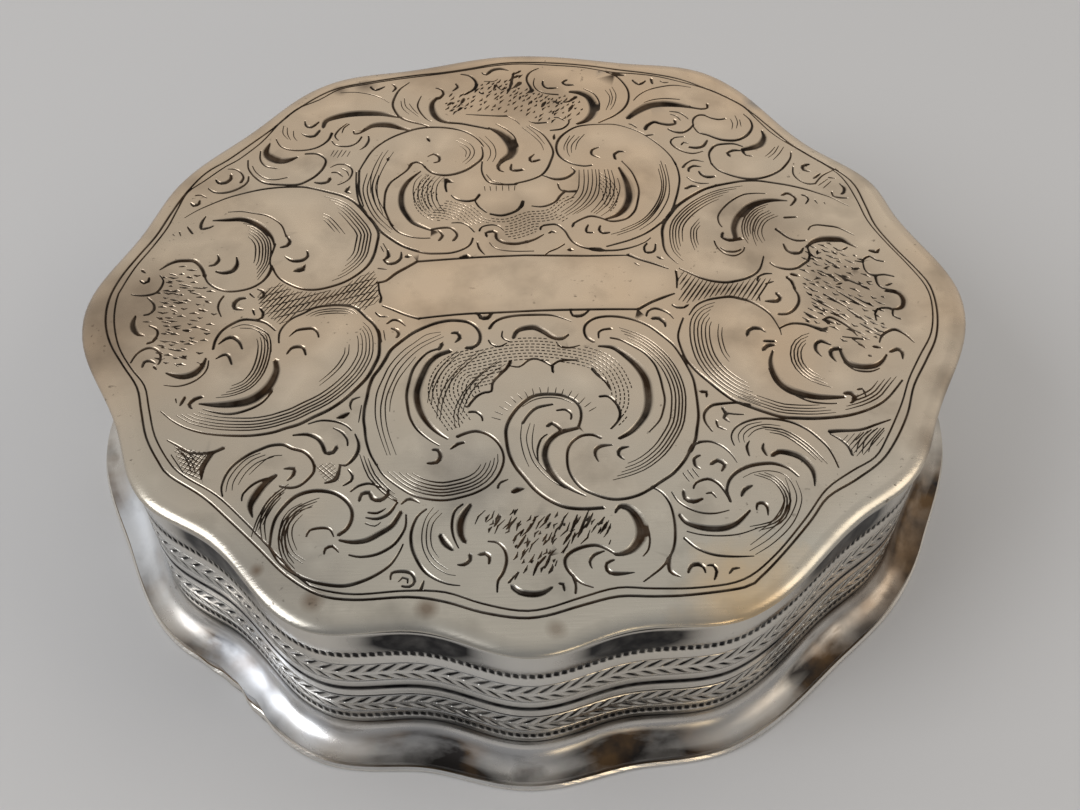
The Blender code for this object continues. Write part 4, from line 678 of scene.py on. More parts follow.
# Short flicks fill the front ground and then the right one.
FRONT_FLICK = (6, 16, 6)
for flick in (
    (-2.3,-18.6,-1.9,-17.9),(-1.6,-18.8,-1,-18),(-1,-20.1,-.5,-19.2),(-.5,-19.1,0,-18.3),(.95,-17.8,.6,
    -18.3),(1.7,-18.2,1.4,-18.9),(2.5,-17.9,2.05,-19.2),(3.17,-17.67,2.45,-19.45),(3.4,-17.8,2.95,-18.8),
    (4.05,-18.1,3.67,-18.67),(4.17,-18.45,3.83,-19),(.72,-19.2,.45,-19.67),(2.17,-19,1.6,-19.9),(4.3,-19.7,
    4.2,-19.95),(.6,-20.67,.17,-21.2),(.83,-20.67,.5,-21.45),(.17,-21,-.17,-21.9),(1.2,-21,1.1,-21.3),
):
    STROKES.append(FRONT_FLICK + flick)
RIGHT_FLICK = (7, 18, 7)
for flick in (
    (21.8,3.6,22.2,3.85),(20.1,3.6,20,3.2),(21.1,2.8,21.4,2.7),(20.3,1.9,20.6,2),(20.9,2.2,21.3,1.9),(22.1,
    1.7,22.67,1.8),(21.33,1.15,21.8,.9),(19.4,.8,19.7,.9),(20.8,.3,21.2,.4),(22.9,.5,23.2,.5),(18.6,.1,18.8,
    -.1),(18.9,-.9,20.2,-2),(19.8,-.55,21.1,-1.8),(20.7,-.3,22.4,-1.9),(18.9,-1.55,19.7,-2.3),(18.2,-2.2,19,
    -2.8),(20,-2.1,20.9,-3),(21.1,-2,22.2,-3.2),(21.8,-.9,22.9,-1.8),(21.7,-3.3,22.67,-4.1),(20.2,1.4,21.1,
    .6),(21.1,1.1,22.9,-.1),
):
    STROKES.append(RIGHT_FLICK + flick)
# fmt: on
POINT_GRID = 0.05
WIDTH_UNIT = 0.01
FINE_OPENING = 0.55
FINE_WIDTH = 30
LEAST_OPENING = 1


def on_grid(points):
    """The points as pairs, set to the grid, which is as close as they could be read."""
    return np.round(np.array(points, float).reshape(-1, 2) / POINT_GRID) * POINT_GRID


def opened(width):
    """A cut's width as it is made: a fine one is opened more than a broad one, so that it shows."""
    return round(width * (1 + FINE_OPENING * math.exp(-width / FINE_WIDTH)) + LEAST_OPENING)


def through(points, step, closed=False):
    """A smooth curve through the points, sampled at about every step, with its share of the way."""
    points = np.array(points, float)
    count = len(points)
    runs = count if closed else count - 1
    samples = []
    for k in range(runs):
        b, c = points[k], points[(k + 1) % count]
        a = points[k - 1] if k or closed else b
        d = points[(k + 2) % count] if k + 2 < count or closed else c
        parts = max(1, round(float(np.linalg.norm(c - b)) / step))
        for part in range(parts):
            t = part / parts
            samples.append(
                0.5
                * (2 * b + (c - a) * t + (2 * a - 5 * b + 4 * c - d) * t * t
                   + (3 * b - 3 * c + d - a) * t**3)
            )
    if not closed:
        samples.append(points[-1])
    samples = np.array(samples)
    gaps = np.linalg.norm(np.diff(samples, axis=0), axis=1)
    way = np.concatenate(([0], np.cumsum(gaps)))
    return samples, way / max(way[-1], 1e-6)


def sideways(samples, closed=False):
    """The unit direction to the left of a sampled curve, at each sample."""
    if closed:
        ahead = np.roll(samples, -1, 0) - np.roll(samples, 1, 0)
    else:
        ahead = np.gradient(samples, axis=0)
    ahead /= np.maximum(np.linalg.norm(ahead, axis=1), 1e-9)[:, None]
    return np.column_stack((-ahead[:, 1], ahead[:, 0]))


DEEPEST_CUT = 0.24
DEPTH_GROWTH = 1.9


def groove_depth(width):
    """A narrow cut is nearly as deep as half its width, and a broad one is shallower."""
    return DEEPEST_CUT * (1 - math.exp(-DEPTH_GROWTH * width))


def inside_loop(points, loop):
    """Which of the points lie inside a closed loop."""
    loop = np.array(loop, float)
    x, y = points[:, :1], points[:, 1:]
    ax, ay = loop[:, 0], loop[:, 1]
    bx, by = np.roll(ax, -1), np.roll(ay, -1)
    spans = (ay > y) != (by > y)
    crossing = ax + (y - ay) / np.where(by == ay, 1e-9, by - ay) * (bx - ax)
    return (spans & (x < crossing)).sum(1) % 2 == 1


RIM_CLEARANCE = 1.15
DRAWN_IN = 0.995


def within_rim(path):
    """A cut's points, those too near the rim drawn in a little, so that no cut runs over it."""
    path = np.array(path, float)
    loop = outline_loop(-RIM_CLEARANCE)
    outside = ~inside_loop(path, loop)
    while outside.any():
        path[outside] *= DRAWN_IN
        outside = ~inside_loop(path, loop)
    return path


TIP_SHARE = 0.6


class Engraving:
    """The points and edges of all cuts, seen from above, and the cuts' slopes as segments."""

    def __init__(self):
        self.points = []
        self.lip_of = []
        self.edges = []
        # Each segment holds its two ends, its half widths and depths there, and its cut's number.
        self.segments = []
        self.cuts = 0

    def line(self, points, closed=False, lip_of=-1):
        """A line that the mesh follows. A lip's points don't belong to the cut inside it."""
        first = len(self.points)
        self.points += [tuple(p) for p in points]
        self.lip_of += [lip_of] * len(points)
        last = len(self.points) - 1
        self.edges += [(k, k + 1) for k in range(first, last)]
        if closed:
            self.edges.append((last, first))

    def cut(self, points, widths, step=0.22, closed=False):
        """One groove through the points, as wide as the three widths at its start, middle and end."""
        samples, way = through(within_rim(points), step, closed)
        start, middle, end = widths
        width = np.where(
            way < 0.5,
            start + (middle - start) * np.sin(math.pi * np.minimum(way, 0.5)),
            end + (middle - end) * np.sin(math.pi * np.minimum(1 - way, 0.5)),
        )
        side = sideways(samples, closed) * (width / 2)[:, None]
        depths = np.array([groove_depth(w) for w in width])
        self.cuts += 1
        if closed:
            self.line(samples + side, True, self.cuts)
            self.line(samples, True)
            self.line(samples - side, True, self.cuts)
            ring = list(range(len(samples))) + [0]
        else:
            tip_before = samples[0] - (samples[1] - samples[0]) * (TIP_SHARE * start / step)
            tip_after = samples[-1] + (samples[-1] - samples[-2]) * (TIP_SHARE * end / step)
            around = np.vstack((tip_before, samples + side, tip_after, (samples - side)[::-1]))
            self.line(around, True, self.cuts)
            self.line(samples)
            ring = list(range(len(samples)))
        for a, b in zip(ring, ring[1:]):
            self.segments.append(
                (*samples[a], *samples[b], width[a] / 2, width[b] / 2, depths[a], depths[b], self.cuts)
            )


OUTER_BORDER_WIDTH = 0.20
INNER_BORDER_WIDTH = 0.16
BORDER_STEP = 0.5
engraving = Engraving()
for closed_line, width in ((OUTER_BORDER, OUTER_BORDER_WIDTH), (INNER_BORDER, INNER_BORDER_WIDTH)):
    engraving.cut(on_grid(closed_line), (width, width, width), BORDER_STEP, closed=True)
for stroke in STROKES:
    engraving.cut(on_grid(stroke[3:]), [opened(w) * WIDTH_UNIT for w in stroke[:3]])


FAN_STEP = 0.3
DASH_STEP = 0.1
DASH_SHARE = 0.62
ROW_SHIFT = 0.25


def fan(points, offsets, widths, trim=1, dashes=0.0, within=None):
    """Fine cuts beside a curve, each a given distance to its left and shorter than the last."""
    samples, _ = through(points, FAN_STEP)
    side = sideways(samples)
    for k, offset in enumerate(offsets):
        moved = (samples + offset * side)[round(k * trim) : len(samples) - round(k * trim)]
        if len(moved) < 3:
            continue
        if not dashes:
            engraving.cut(moved[::2], widths, 0.5)
            continue
        fine, way = through(moved, DASH_STEP)
        length = DASH_STEP * len(fine)
        for n in range(int(length / dashes)):
            start = (n + ROW_SHIFT * (k % 2)) * dashes / length
            ends = [start + part * DASH_SHARE * dashes / length for part in (0, 1)]
            dash = np.column_stack([np.interp(ends, way, fine[:, axis]) for axis in (0, 1)])
            if within is None or inside_loop(dash, within).all():
                engraving.cut(dash, widths, 1.0)


SHORTEST_HATCH = 0.25


def hatch(corners, angle, spacing, widths, jitter=0.0):
    """Straight cuts across a closed patch, all at one angle."""
    corners = np.array(corners, float)
    ahead = np.array((math.cos(angle), math.sin(angle)))
    across = np.array((-ahead[1], ahead[0]))
    levels = corners @ across
    count = int((levels.max() - levels.min()) / spacing)
    for k in range(count):
        level = levels.min() + (k + 0.5) * spacing + jitter * math.sin(12.9 * k)
        meets = []
        for a, b, la, lb in zip(corners, np.roll(corners, -1, 0), levels, np.roll(levels, -1)):
            if (la - level) * (lb - level) < 0:
                meets.append(float((a + (b - a) * (level - la) / (lb - la)) @ ahead))
        meets.sort()
        for start, end in zip(meets[::2], meets[1::2]):
            if end - start > SHORTEST_HATCH:
                path = [start * ahead + level * across, end * ahead + level * across]
                engraving.cut(path, widths, 0.8)


FLICK_PITCH = 1.5


def stipple(corners, angle, length, spacing, widths):
    """Short bent flicks over a closed patch. The sines stand for the unevenness of a hand."""
    corners = np.array(corners, float)
    low, high = corners.min(0), corners.max(0)
    ahead = np.array((math.cos(angle), math.sin(angle)))
    across = np.array((-ahead[1], ahead[0]))
    reach = float(np.linalg.norm(high - low))
    middle = (low + high) / 2
    rows = int(reach / spacing)
    for i in range(rows):
        for j in range(int(reach / (FLICK_PITCH * length))):
            n = i * 37 + j * 11
            slide = (j + 0.5 * (i % 2) + 0.3 * math.sin(7.3 * n)) * FLICK_PITCH * length - reach / 2
            rise = (i + 0.3 * math.sin(4.7 * n + 1)) * spacing - reach / 2
            spot = middle + slide * ahead + rise * across
            half = length * (0.36 + 0.16 * math.sin(3.1 * n)) * ahead
            if inside_loop(np.array([spot - half, spot + half]), corners).all():
                bow = 0.12 * length * math.sin(5.9 * n) * across
                engraving.cut([spot - half, spot + bow, spot + half], widths, 0.4)


# How wide the fine cuts are where they start, in their middle and where they end.
FINE = (0.06, 0.15, 0.06)
FAINT = (0.05, 0.12, 0.05)
DASH = (0.10, 0.17, 0.10)
FLICK = (0.08, 0.21, 0.07)

# The grounds beside the cartouche are hatched from lower left to upper right.
LEFT_GROUND = (
    (-17.9, 0.2), (-16.5, 1.3), (-15.5, 0.5), (-14, 0.3), (-12.5, 0.6), (-11.4, 1.6),
    (-10.3, 2.4), (-9.9, 1), (-9.8, -0.6), (-10.8, -1.4), (-12, -0.75), (-13.5, -0.8),
    (-15, -1.5), (-16, -2.6), (-17, -1.8), (-17.6, -0.9),
)
RIGHT_GROUND = (
    (10.5, 1.9), (11.5, 1.1), (13, 0.5), (14.4, 0.6), (15.2, 1.0), (16.6, 0.9), (15.2, -1.1),
    (14, -0.7), (12.8, -0.5), (11.5, -0.9), (10.6, -1.2), (10, -0.9), (10.3, 0), (10.2, 1.7),
)
hatch(LEFT_GROUND, math.radians(58), 0.25, FINE, 0.05)
hatch(LEFT_GROUND, math.radians(20), 0.55, FAINT, 0.08)
hatch(RIGHT_GROUND, math.radians(58), 0.28, (0.07, 0.17, 0.06), 0.05)

# Fans of fine cuts shade the inside of each oval, scroll and shell.
UPPER_LEFT_OVAL = (
    (-15.67, 10.9), (-14, 10.33), (-13, 9.95), (-12.22, 9.4), (-11.55, 8.6), (-10.9, 7.6),
    (-10.45, 6.83), (-10.17, 5.95), (-10.22, 4.95), (-10.33, 3.83), (-10.67, 2.95),
    (-11.22, 2.17), (-12, 1.4), (-12.78, 0.95),
)
fan(UPPER_LEFT_OVAL[1:], (-0.5, -0.72, -0.94, -1.18, -1.45), FINE, 2)
fan(UPPER_LEFT_OVAL[2:7], (-2.2, -2.45, -2.7), FAINT, 1)
LEFT_WAVE = (
    (-19.6, 7.4), (-18.9, 7.25), (-18.05, 6.55), (-17.5, 5.75), (-17.25, 5), (-17.15, 4),
    (-17.22, 2.9), (-17.78, 1.5),
)
fan(LEFT_WAVE, (-0.25, -0.42, -0.6, -0.8, -1.02, -1.28), FINE, 1)
LOWER_LEFT_ROUND = (
    (-17.4, -2.5), (-16.6, -3), (-16.2, -4), (-16.15, -5.5), (-16.45, -7), (-17.2, -8.2),
    (-18.4, -8.85), (-19.6, -9),
)
fan(LOWER_LEFT_ROUND, (-0.35, -0.53, -0.72, -0.92, -1.15), FINE, 1)
LOWER_LEFT_OVAL = (
    (-21.9, -10.33), (-21, -10.95), (-20, -11.33), (-19, -11.55), (-17.9, -11.65), (-16.78, -11.65),
    (-15.67, -11.45), (-14.9, -11.17), (-14.1, -10.83), (-13.33, -10.33), (-12.45, -9.78),
    (-11.67, -9.1), (-10.9, -8.22), (-10.22, -7.22), (-9.78, -6.22), (-9.55, -5.33),
    (-9.55, -4.33), (-9.67, -3.45), (-10, -2.67), (-10.55, -2),
)
fan(LOWER_LEFT_OVAL, (0.42, 0.64, 0.86, 1.1, 1.36), FINE, 1)
fan(LOWER_LEFT_OVAL[11:17], (1.95, 2.2), FAINT, 1)
fan(
    (
        (-10.9, -1.55), (-11.33, -1.1), (-12.1, -0.9), (-13.1, -0.9), (-14, -1.1), (-14.67, -1.55),
    ),
    (0.32, 0.52, 0.72), FAINT, 1,
)
UPPER_RIGHT_OVAL = (
    (10.33, 2.5), (9.72, 3.5), (9.55, 4.95), (9.83, 6.72), (10.83, 8.28), (12.28, 9.6), (13.9, 10.45),
    (15.9, 10.9),
)
fan(UPPER_RIGHT_OVAL, (-0.5, -0.7, -0.9, -1.12, -1.36), FINE, 2)
fan(UPPER_RIGHT_OVAL[1:5], (-1.95, -2.15, -2.35), FAINT, 1)
RIGHT_WAVE = ((17.5, 8.6), (16.4, 8.1), (15.6, 7.2), (15.2, 6.1), (15.2, 5), (15.5, 4.2))
fan(RIGHT_WAVE, (0, 0.18, 0.36, 0.56, 0.8), FINE, 1)
LOWER_RIGHT_OVAL = (
    (12.6, -1.78), (11.83, -2.1), (11.28, -2.9), (11.1, -3.9), (11.1, -5), (11.28, -6.1),
    (11.72, -7.1), (12.4, -8), (13.28, -8.78), (14.5, -9.45),
)
fan(LOWER_RIGHT_OVAL, (-0.6, -0.34, -0.1, 0.14, 0.4, 0.66), FINE, 1)
fan(LOWER_RIGHT_OVAL[2:7], (1.2, 1.45), FAINT, 1)
fan(
    (
        (12.72, -9.67), (13.6, -10.17), (14.5, -10.6), (15.45, -11), (17.33, -11.17), (19, -11.05),
    ),
    (0.35, 0.57, 0.8, 1.05), FAINT, 1,
)
fan(
    (
        (19.55, -10.95), (20.67, -10.6), (21.55, -10.17), (22.22, -9.67), (22.78, -9), (23.45, -8.22),
    ),
    (0.45, 0.68, 0.92, 1.18), FINE, 1,
)
fan(
    (
        (18.22, -4.1), (17.45, -4.45), (16.9, -5.22), (16.72, -6.22), (16.9, -7.1), (17.45, -7.9),
        (18.22, -8.45), (19.1, -8.78),
    ),
    (0, 0.22, 0.44, 0.66), FINE, 1,
)
FRONT_RIGHT_SCROLL = (
    (5.95, -3.33), (7.28, -4), (8.28, -5), (9.05, -6.22), (9.5, -7.55), (9.67, -8.9), (9.55, -10.22),
    (9.28, -11.45), (8.72, -12.55), (7.95, -13.67), (6.83, -14.67), (5.72, -15.2), (4.5, -15.55),
)
fan(FRONT_RIGHT_SCROLL, (0, -0.2, -0.4, -0.62, -0.86), FINE, 1)
FRONT_LEFT_ROUND = (
    (-8.78, -14.78), (-7.9, -15.67), (-7, -16.28), (-6.1, -16.6), (-5.22, -16.7), (-4.33, -16.55),
    (-3.33, -16.22), (-2.55, -15.67), (-2, -14.9), (-1.72, -14), (-1.75, -13.2),
)
fan(FRONT_LEFT_ROUND, (0.32, 0.54, 0.76, 1.0, 1.26), FINE, 1)

FRONT_LEFT_CIRCLE = (
    (-12.3, -16.7), (-13.35, -17.2), (-14, -18.05), (-14.15, -19.1), (-13.85, -20.25),
    (-13.15, -21.15),
)
fan(FRONT_LEFT_CIRCLE, (-0.36, -0.18, 0), FINE, 1)
fan(
    (
        (-13.9, -15.8), (-14.75, -16.65), (-15.25, -17.85), (-15.45, -19.05),
    ),
    (-0.62, -0.47, -0.32, -0.17), FINE, 1,
)
fan(((-10.0, -13.15), (-9.4, -14.75), (-8.4, -16), (-7.5, -16.7)), (-0.3, -0.1, 0.1), FINE, 1)
FRONT_RIGHT_CIRCLE = (
    (13.3, -14.8), (14.4, -15.3), (15, -16.2), (15.15, -17.3), (14.65, -18.5), (13.75, -19.2),
    (12.45, -19.5),
)
fan(FRONT_RIGHT_CIRCLE, (-0.55, -0.38, -0.2), FINE, 1)
fan(((14.1, -11.5), (15.6, -11.9), (16.9, -13.15), (17.85, -14.7)), (-0.2, -0.4, -0.6), FINE, 1)
LEFT_CORNER = ((-21.5, -12.4), (-19.3, -12.9), (-19.45, -14.95), (-20.6, -14.4))
RIGHT_CORNER = ((18.7, -12.6), (21.55, -11.95), (21.25, -13), (19.5, -14.25))
LEFT_NOOK = ((-12.9, -14), (-11.8, -13.8), (-11.35, -15.15), (-12.05, -15.35))
for corner, angle in (
    (LEFT_CORNER, 62), (LEFT_CORNER, -28), (RIGHT_CORNER, 48), (LEFT_NOOK, 45), (LEFT_NOOK, -45),
):
    hatch(corner, math.radians(angle), 0.25, FAINT)

# The shells stand on grounds of dotted rows, DASH_PITCH apart along a row.
DASH_PITCH = 0.34
DASH_ROW_GAP = 0.26
FRONT_SHELL_RIM = (
    (-5.3, -12.2), (-6.1, -10.8), (-6.75, -9.3), (-6.85, -7.7), (-6.3, -6.1), (-5.2, -4.95),
    (-3.6, -4.4), (-1.8, -3.95), (0.2, -3.8), (2.2, -4.05), (4, -4.5), (5.2, -5.1), (6.2, -6.2),
    (6.75, -7.6), (6.95, -8.9), (6.75, -10.3), (6.1, -11.4), (5.5, -12),
)
FRONT_SHELL_GROUND = (
    (-5.06, -11.9), (-5.85, -10.6), (-6.35, -9.2), (-6.35, -7.7), (-5.9, -6.3), (-5, -5.3), (-3.9, -5),
    (-2.73, -4.8), (-1.68, -4.55), (-0.62, -4.1), (0.32, -3.95), (1.25, -4.15), (2.17, -4.75),
    (3.1, -4.9), (4.04, -4.85), (4.9, -5.35), (5.7, -6.2), (6.2, -7.2), (6.4, -8.5), (6.3, -9.9),
    (5.85, -10.9), (5.3, -11.6), (5.35, -10.3), (5.2, -9.4), (4.9, -8.4), (4.3, -7.6), (3.9, -7.1),
    (3, -6.5), (1.8, -6.1), (0.5, -6), (-0.67, -6.25), (-1.35, -6.2), (-2.05, -7.2), (-2.5, -8.5),
    (-3.3, -8.7), (-3.75, -9.4), (-3.85, -10.2), (-3.3, -10.6), (-3.95, -11), (-4.51, -11.6),
)
rows = [-0.3 - DASH_ROW_GAP * k for k in range(14)]
fan(FRONT_SHELL_RIM, rows, DASH, 0, DASH_PITCH, FRONT_SHELL_GROUND)
BACK_SHELL_LEFT = (
    (-7.1, 12.2), (-7.7, 11.2), (-8.1, 10.2), (-8.1, 9.2), (-7.8, 8.2), (-7.2, 7.4), (-6.4, 6.8),
)
fan(BACK_SHELL_LEFT, (0.3, 0.56, 0.82, 1.08, 1.34, 1.6, 1.9), DASH, 1, DASH_PITCH)
BACK_SHELL_RIGHT = ((5.6, 12.0), (6.3, 11.2), (6.7, 10.2), (6.7, 9.2), (6.4, 8.3), (5.8, 7.6))
fan(BACK_SHELL_RIGHT, (0, -0.26, -0.52, -0.78, -1.04), DASH, 1, DASH_PITCH)
BACK_SHELL_FOOT = (
    (-6.6, 9.6), (-5.2, 9.4), (-3.9, 8.8), (-2.8, 7.6), (-1.4, 7.2), (0.2, 7.9), (1.6, 8.1),
    (2.7, 9.2), (3.8, 9.8),
)
BACK_SHELL_GROUND = (
    (-6.9, 7.8), (-5.5, 9.4), (-4.2, 8.9), (-3.5, 8.6), (-2.8, 7.5), (-1.5, 7.3), (-0.2, 7.9), (0.7, 8.3),
    (1.8, 8.3), (2.6, 9.2), (3.2, 9.7), (3.9, 9.6), (3.2, 8.6), (2.4, 7.9), (3.1, 7.5), (3.2, 6.8),
    (2.4, 6.9), (1.1, 6.9), (0.9, 5.7), (0.2, 5.3), (-0.8, 5.2), (-1.7, 5.5), (-1.3, 6.9), (-3.2, 6.8),
    (-3.9, 6.2), (-4.2, 7.1), (-5.2, 7.2), (-6.2, 7.0),
)
rows = [-DASH_ROW_GAP * k for k in range(13)]
fan(BACK_SHELL_FOOT, rows, DASH, 0, DASH_PITCH, BACK_SHELL_GROUND)

# The four outer grounds are matted with flicks, each at its own angle.
WEST_GROUND = (
    (-24.6, 2.0), (-23, 3.3), (-21.8, 2.6), (-21.3, 1.3), (-20.3, 0.4), (-20.3, -1), (-20.1, -2.3),
    (-20.2, -4.2), (-20.9, -5.6), (-22.3, -6.5), (-23.4, -5.8), (-24.2, -4.6), (-24, -2.5), (-24.6, -0.5),
)
stipple(WEST_GROUND, math.radians(-6), 0.66, 0.40, FLICK)
EAST_GROUND = (
    (18.5, 3.2), (20, 4.4), (22, 4.3), (23, 2.8), (23.5, 0.8), (24, -1), (23.8, -3), (23.2, -4.6),
    (21.8, -5.6), (20.4, -5.2), (19, -4), (17.8, -2.6), (18.3, -0.8), (18.2, 1),
)
stipple(EAST_GROUND, math.radians(-34), 0.72, 0.38, FLICK)
SOUTH_GROUND = (
    (-3, -17.2), (3.4, -17.8), (4.6, -18.3), (4.2, -19.6), (2.6, -19.9), (1.5, -20.6), (1.3, -22),
    (-1.3, -22.2), (-1.3, -20.4), (-2.4, -19.4), (-3.6, -18.8),
)
stipple(SOUTH_GROUND, math.radians(58), 1.05, 0.30, FINE)
stipple(SOUTH_GROUND, math.radians(64), 0.55, 0.60, FLICK)
NORTH_GROUND = (
    (-6.1, 19.3), (-5.8, 21.0), (-4.8, 21.7), (-3.7, 22.6), (-2.6, 23.2), (-1.0, 23.6), (-0.6, 24.3),
    (0.3, 24.2), (0.5, 22.2), (1.2, 21.9), (2.6, 21.5), (3.9, 21.4), (4.6, 20.8), (4.9, 19.6),
    (4.3, 18.4), (3.4, 17.7), (1.7, 17.9), (0.6, 18.1), (-0.9, 19.1), (-4.1, 19.3), (-5.2, 18.8),
)
stipple(NORTH_GROUND, math.radians(56), 0.60, 0.31, FLICK)

# Between the cuts the sheet's mesh is a loose grid of points, GRID_STEP apart, none of
# them within GRID_CLEARANCE of a cut or GRID_MARGIN of the rolled margin.
GRID_STEP = 1.0
GRID_CLEARANCE = 0.38
GRID_MARGIN = 0.3
MERGE_DISTANCE = 1e-5
PLATE_SMOOTH_ANGLE = 24
# The margin falls away gently, then turns under in a roll: distance out, height and how dark
# it is painted. Under the roll, where the plate meets the wall, the dark is painted shade; the
# rest of the underside is faintly tarnished.
RIM_PROFILE = (
    (-0.80, 13.985, 0.0),
    (-0.62, 13.955, 0.0),
    (-0.45, 13.910, 0.0),
    (-0.30, 13.850, 0.0),
    (-0.18, 13.780, 0.0),
    (-0.08, 13.700, 0.0),
    (-0.02, 13.620, 0.0),
    (0.00, 13.550, 0.1),
    (-0.04, 13.490, 0.4),
    (-0.14, 13.450, 0.8),
    (-0.30, 13.430, 0.8),
    (-0.60, PLATE_BOTTOM, 0.4),
    (-1.60, PLATE_BOTTOM, 0.12),
)
EDGE_STAIN = 0.06
FULL_STAIN_DEPTH = 0.026


def cut_depths(points, lips, segments, cell=1.0):
    """How deep the deepest cut is at each point, from the cuts' segments sorted into cells."""
    cells = {}
    for k, (ax, ay, bx, by, ha, hb, _, _, _) in enumerate(segments):
        reach = max(ha, hb)
        for i in range(int((min(ax, bx) - reach) // cell), int((max(ax, bx) + reach) // cell) + 1):
            for j in range(int((min(ay, by) - reach) // cell), int((max(ay, by) + reach) // cell) + 1):
                cells.setdefault((i, j), []).append(k)
    table = np.array(segments)
    owners = {}
    for n, (x, y) in enumerate(points):
        owners.setdefault((int(x // cell), int(y // cell)), []).append(n)
    depths = np.zeros(len(points))
    for key, members in owners.items():
        if key not in cells:
            continue
        s = table[cells[key]]
        p = points[members]
        d = s[:, 2:4] - s[:, 0:2]
        rel = p[:, None, :] - s[None, :, 0:2]
        t = np.clip((rel * d).sum(2) / np.maximum((d * d).sum(1), 1e-9), 0, 1)
        far = np.linalg.norm(rel - t[..., None] * d, axis=2)
        half = s[:, 4] + (s[:, 5] - s[:, 4]) * t
        deep = s[:, 6] + (s[:, 7] - s[:, 6]) * t
        own = lips[members][:, None] == s[None, :, 8]
        depths[members] = np.where(own, 0, deep * np.clip(1 - far / half, 0, 1)).max(1)
    return depths


def mesh_piece(name, points, faces, cut, smooth_angle):
    """A piece from points in millimetres, with how dark each point is, from its cuts and painted shade, as
    an attribute.
    """
    mesh = bpy.data.meshes.new(name)
    mesh.from_pydata((np.array(points) * MM).tolist(), [], [tuple(map(int, f)) for f in faces])
    layer = mesh.attributes.new("cut", "FLOAT", "POINT")
    layer.data.foreach_set("value", np.array(cut, np.float32))
    piece = bpy.data.objects.new(name, mesh)
    bpy.context.scene.collection.objects.link(piece)
    bpy.ops.object.select_all(action="DESELECT")
    piece.select_set(True)
    bpy.context.view_layer.objects.active = piece
    bpy.ops.object.shade_smooth_by_angle(angle=math.radians(smooth_angle))
    piece.select_set(False)
    return piece


def stained(depths):
    """How dark a cut of each depth has gone. The lip of a cut is a little stained too."""
    return np.clip(EDGE_STAIN + depths / FULL_STAIN_DEPTH, 0, 1)


def engraved_plate():
    """The sheet with all its cuts, from a flat mesh that follows them, and its rolled edge."""
    rim = outline_loop(-MARGIN_FALL)
    points = [Vector(p) for p in rim.tolist()]
    edges = [(k, (k + 1) % len(rim)) for k in range(len(rim))]
    base = len(points)
    points += [Vector(p) for p in np.array(engraving.points).tolist()]
    edges += [(a + base, b + base) for a, b in engraving.edges]
    xs = np.arange(-LID_LENGTH / 2, LID_LENGTH / 2, GRID_STEP)
    ys = np.arange(-LID_WIDTH / 2, LID_WIDTH / 2, GRID_STEP)
    grid = np.array([(x + GRID_STEP / 2 * (k % 2), y) for k, y in enumerate(ys) for x in xs])
    grid = grid[inside_loop(grid, outline_loop(-MARGIN_FALL - GRID_MARGIN))]
    taken = np.array(engraving.points)
    near = {(round(x / GRID_CLEARANCE), round(y / GRID_CLEARANCE)) for x, y in taken}
    keep = [
        (x, y)
        for x, y in grid
        if not any(
            (round(x / GRID_CLEARANCE) + i, round(y / GRID_CLEARANCE) + j) in near
            for i in (-1, 0, 1)
            for j in (-1, 0, 1)
        )
    ]
    points += [Vector(p) for p in keep]
    flat, _, faces, origins, _, _ = delaunay_2d_cdt(points, edges, [], 1, MERGE_DISTANCE)
    ring = [0] * len(rim)
    for k, sources in enumerate(origins):
        for source in sources:
            if source < len(rim):
                ring[source] = k
    flat = np.array([tuple(p) for p in flat])
    lip_of = [-1] * len(rim) + engraving.lip_of + [-1] * len(keep)
    lips = np.array([max([lip_of[s] for s in sources], default=-1) for sources in origins])
    depths = cut_depths(flat, lips, engraving.segments)
    depths[ring] = 0
    plain = [
        k
        for k, sources in enumerate(origins)
        if all(s >= base + len(engraving.points) for s in sources) and sources
    ]
    solid = np.column_stack((flat, PLATE_TOP - depths)).tolist()
    cut = stained(depths)
    cut[ring] = 0
    cut[plain] = 0
    cut = cut.tolist()
    faces = [tuple(f) for f in faces]
    previous = ring
    for offset, z, shade in RIM_PROFILE:
        first = len(solid)
        solid += [(x, y, z) for x, y in outline_loop(offset)]
        cut += [shade] * len(rim)
        current = list(range(first, len(solid)))
        faces += [
            (previous[k], current[k], current[(k + 1) % len(rim)], previous[(k + 1) % len(rim)])
            for k in range(len(rim))
        ]
        previous = current
    faces.append(tuple(reversed(previous)))
    return mesh_piece("engraved_plate", solid, faces, cut, PLATE_SMOOTH_ANGLE)


# How fine each of the silver's markings is, as noise scales over metres.
DRIFT_SCALE = 55
DENT_SCALE = 120
STREAK_SCALE = 150
SPECK_GROUP_SCALE = 170
CLOUD_SCALE = 240
FILM_SCALE = 330
WEAR_SCALE = 420
HAIR_SCALE = 500
CROSS_HAIR_SCALE = 420
CUT_PATCH_SCALE = 900
SPECK_SCALE = 2600
# Two sets of hair scratches: which way each runs and how drawn out it is.
HAIRS = ((0, 0, 0.6), (1, 14, 1))
CROSS_HAIRS = ((0, 0, 2.1), (1, 18, 1))
DARKEST_FROM = 0.45
FLANK_FACING = (-0.12, -0.40)
FRONT_FADE = (-0.016, 0.0)
FRONT_DRIFT = 0.005
DIRT_AND_SHADE_ROUGHNESS = 0.25
BUMP_STRENGTH = 0.5
BUMP_HEIGHT = 0.0001


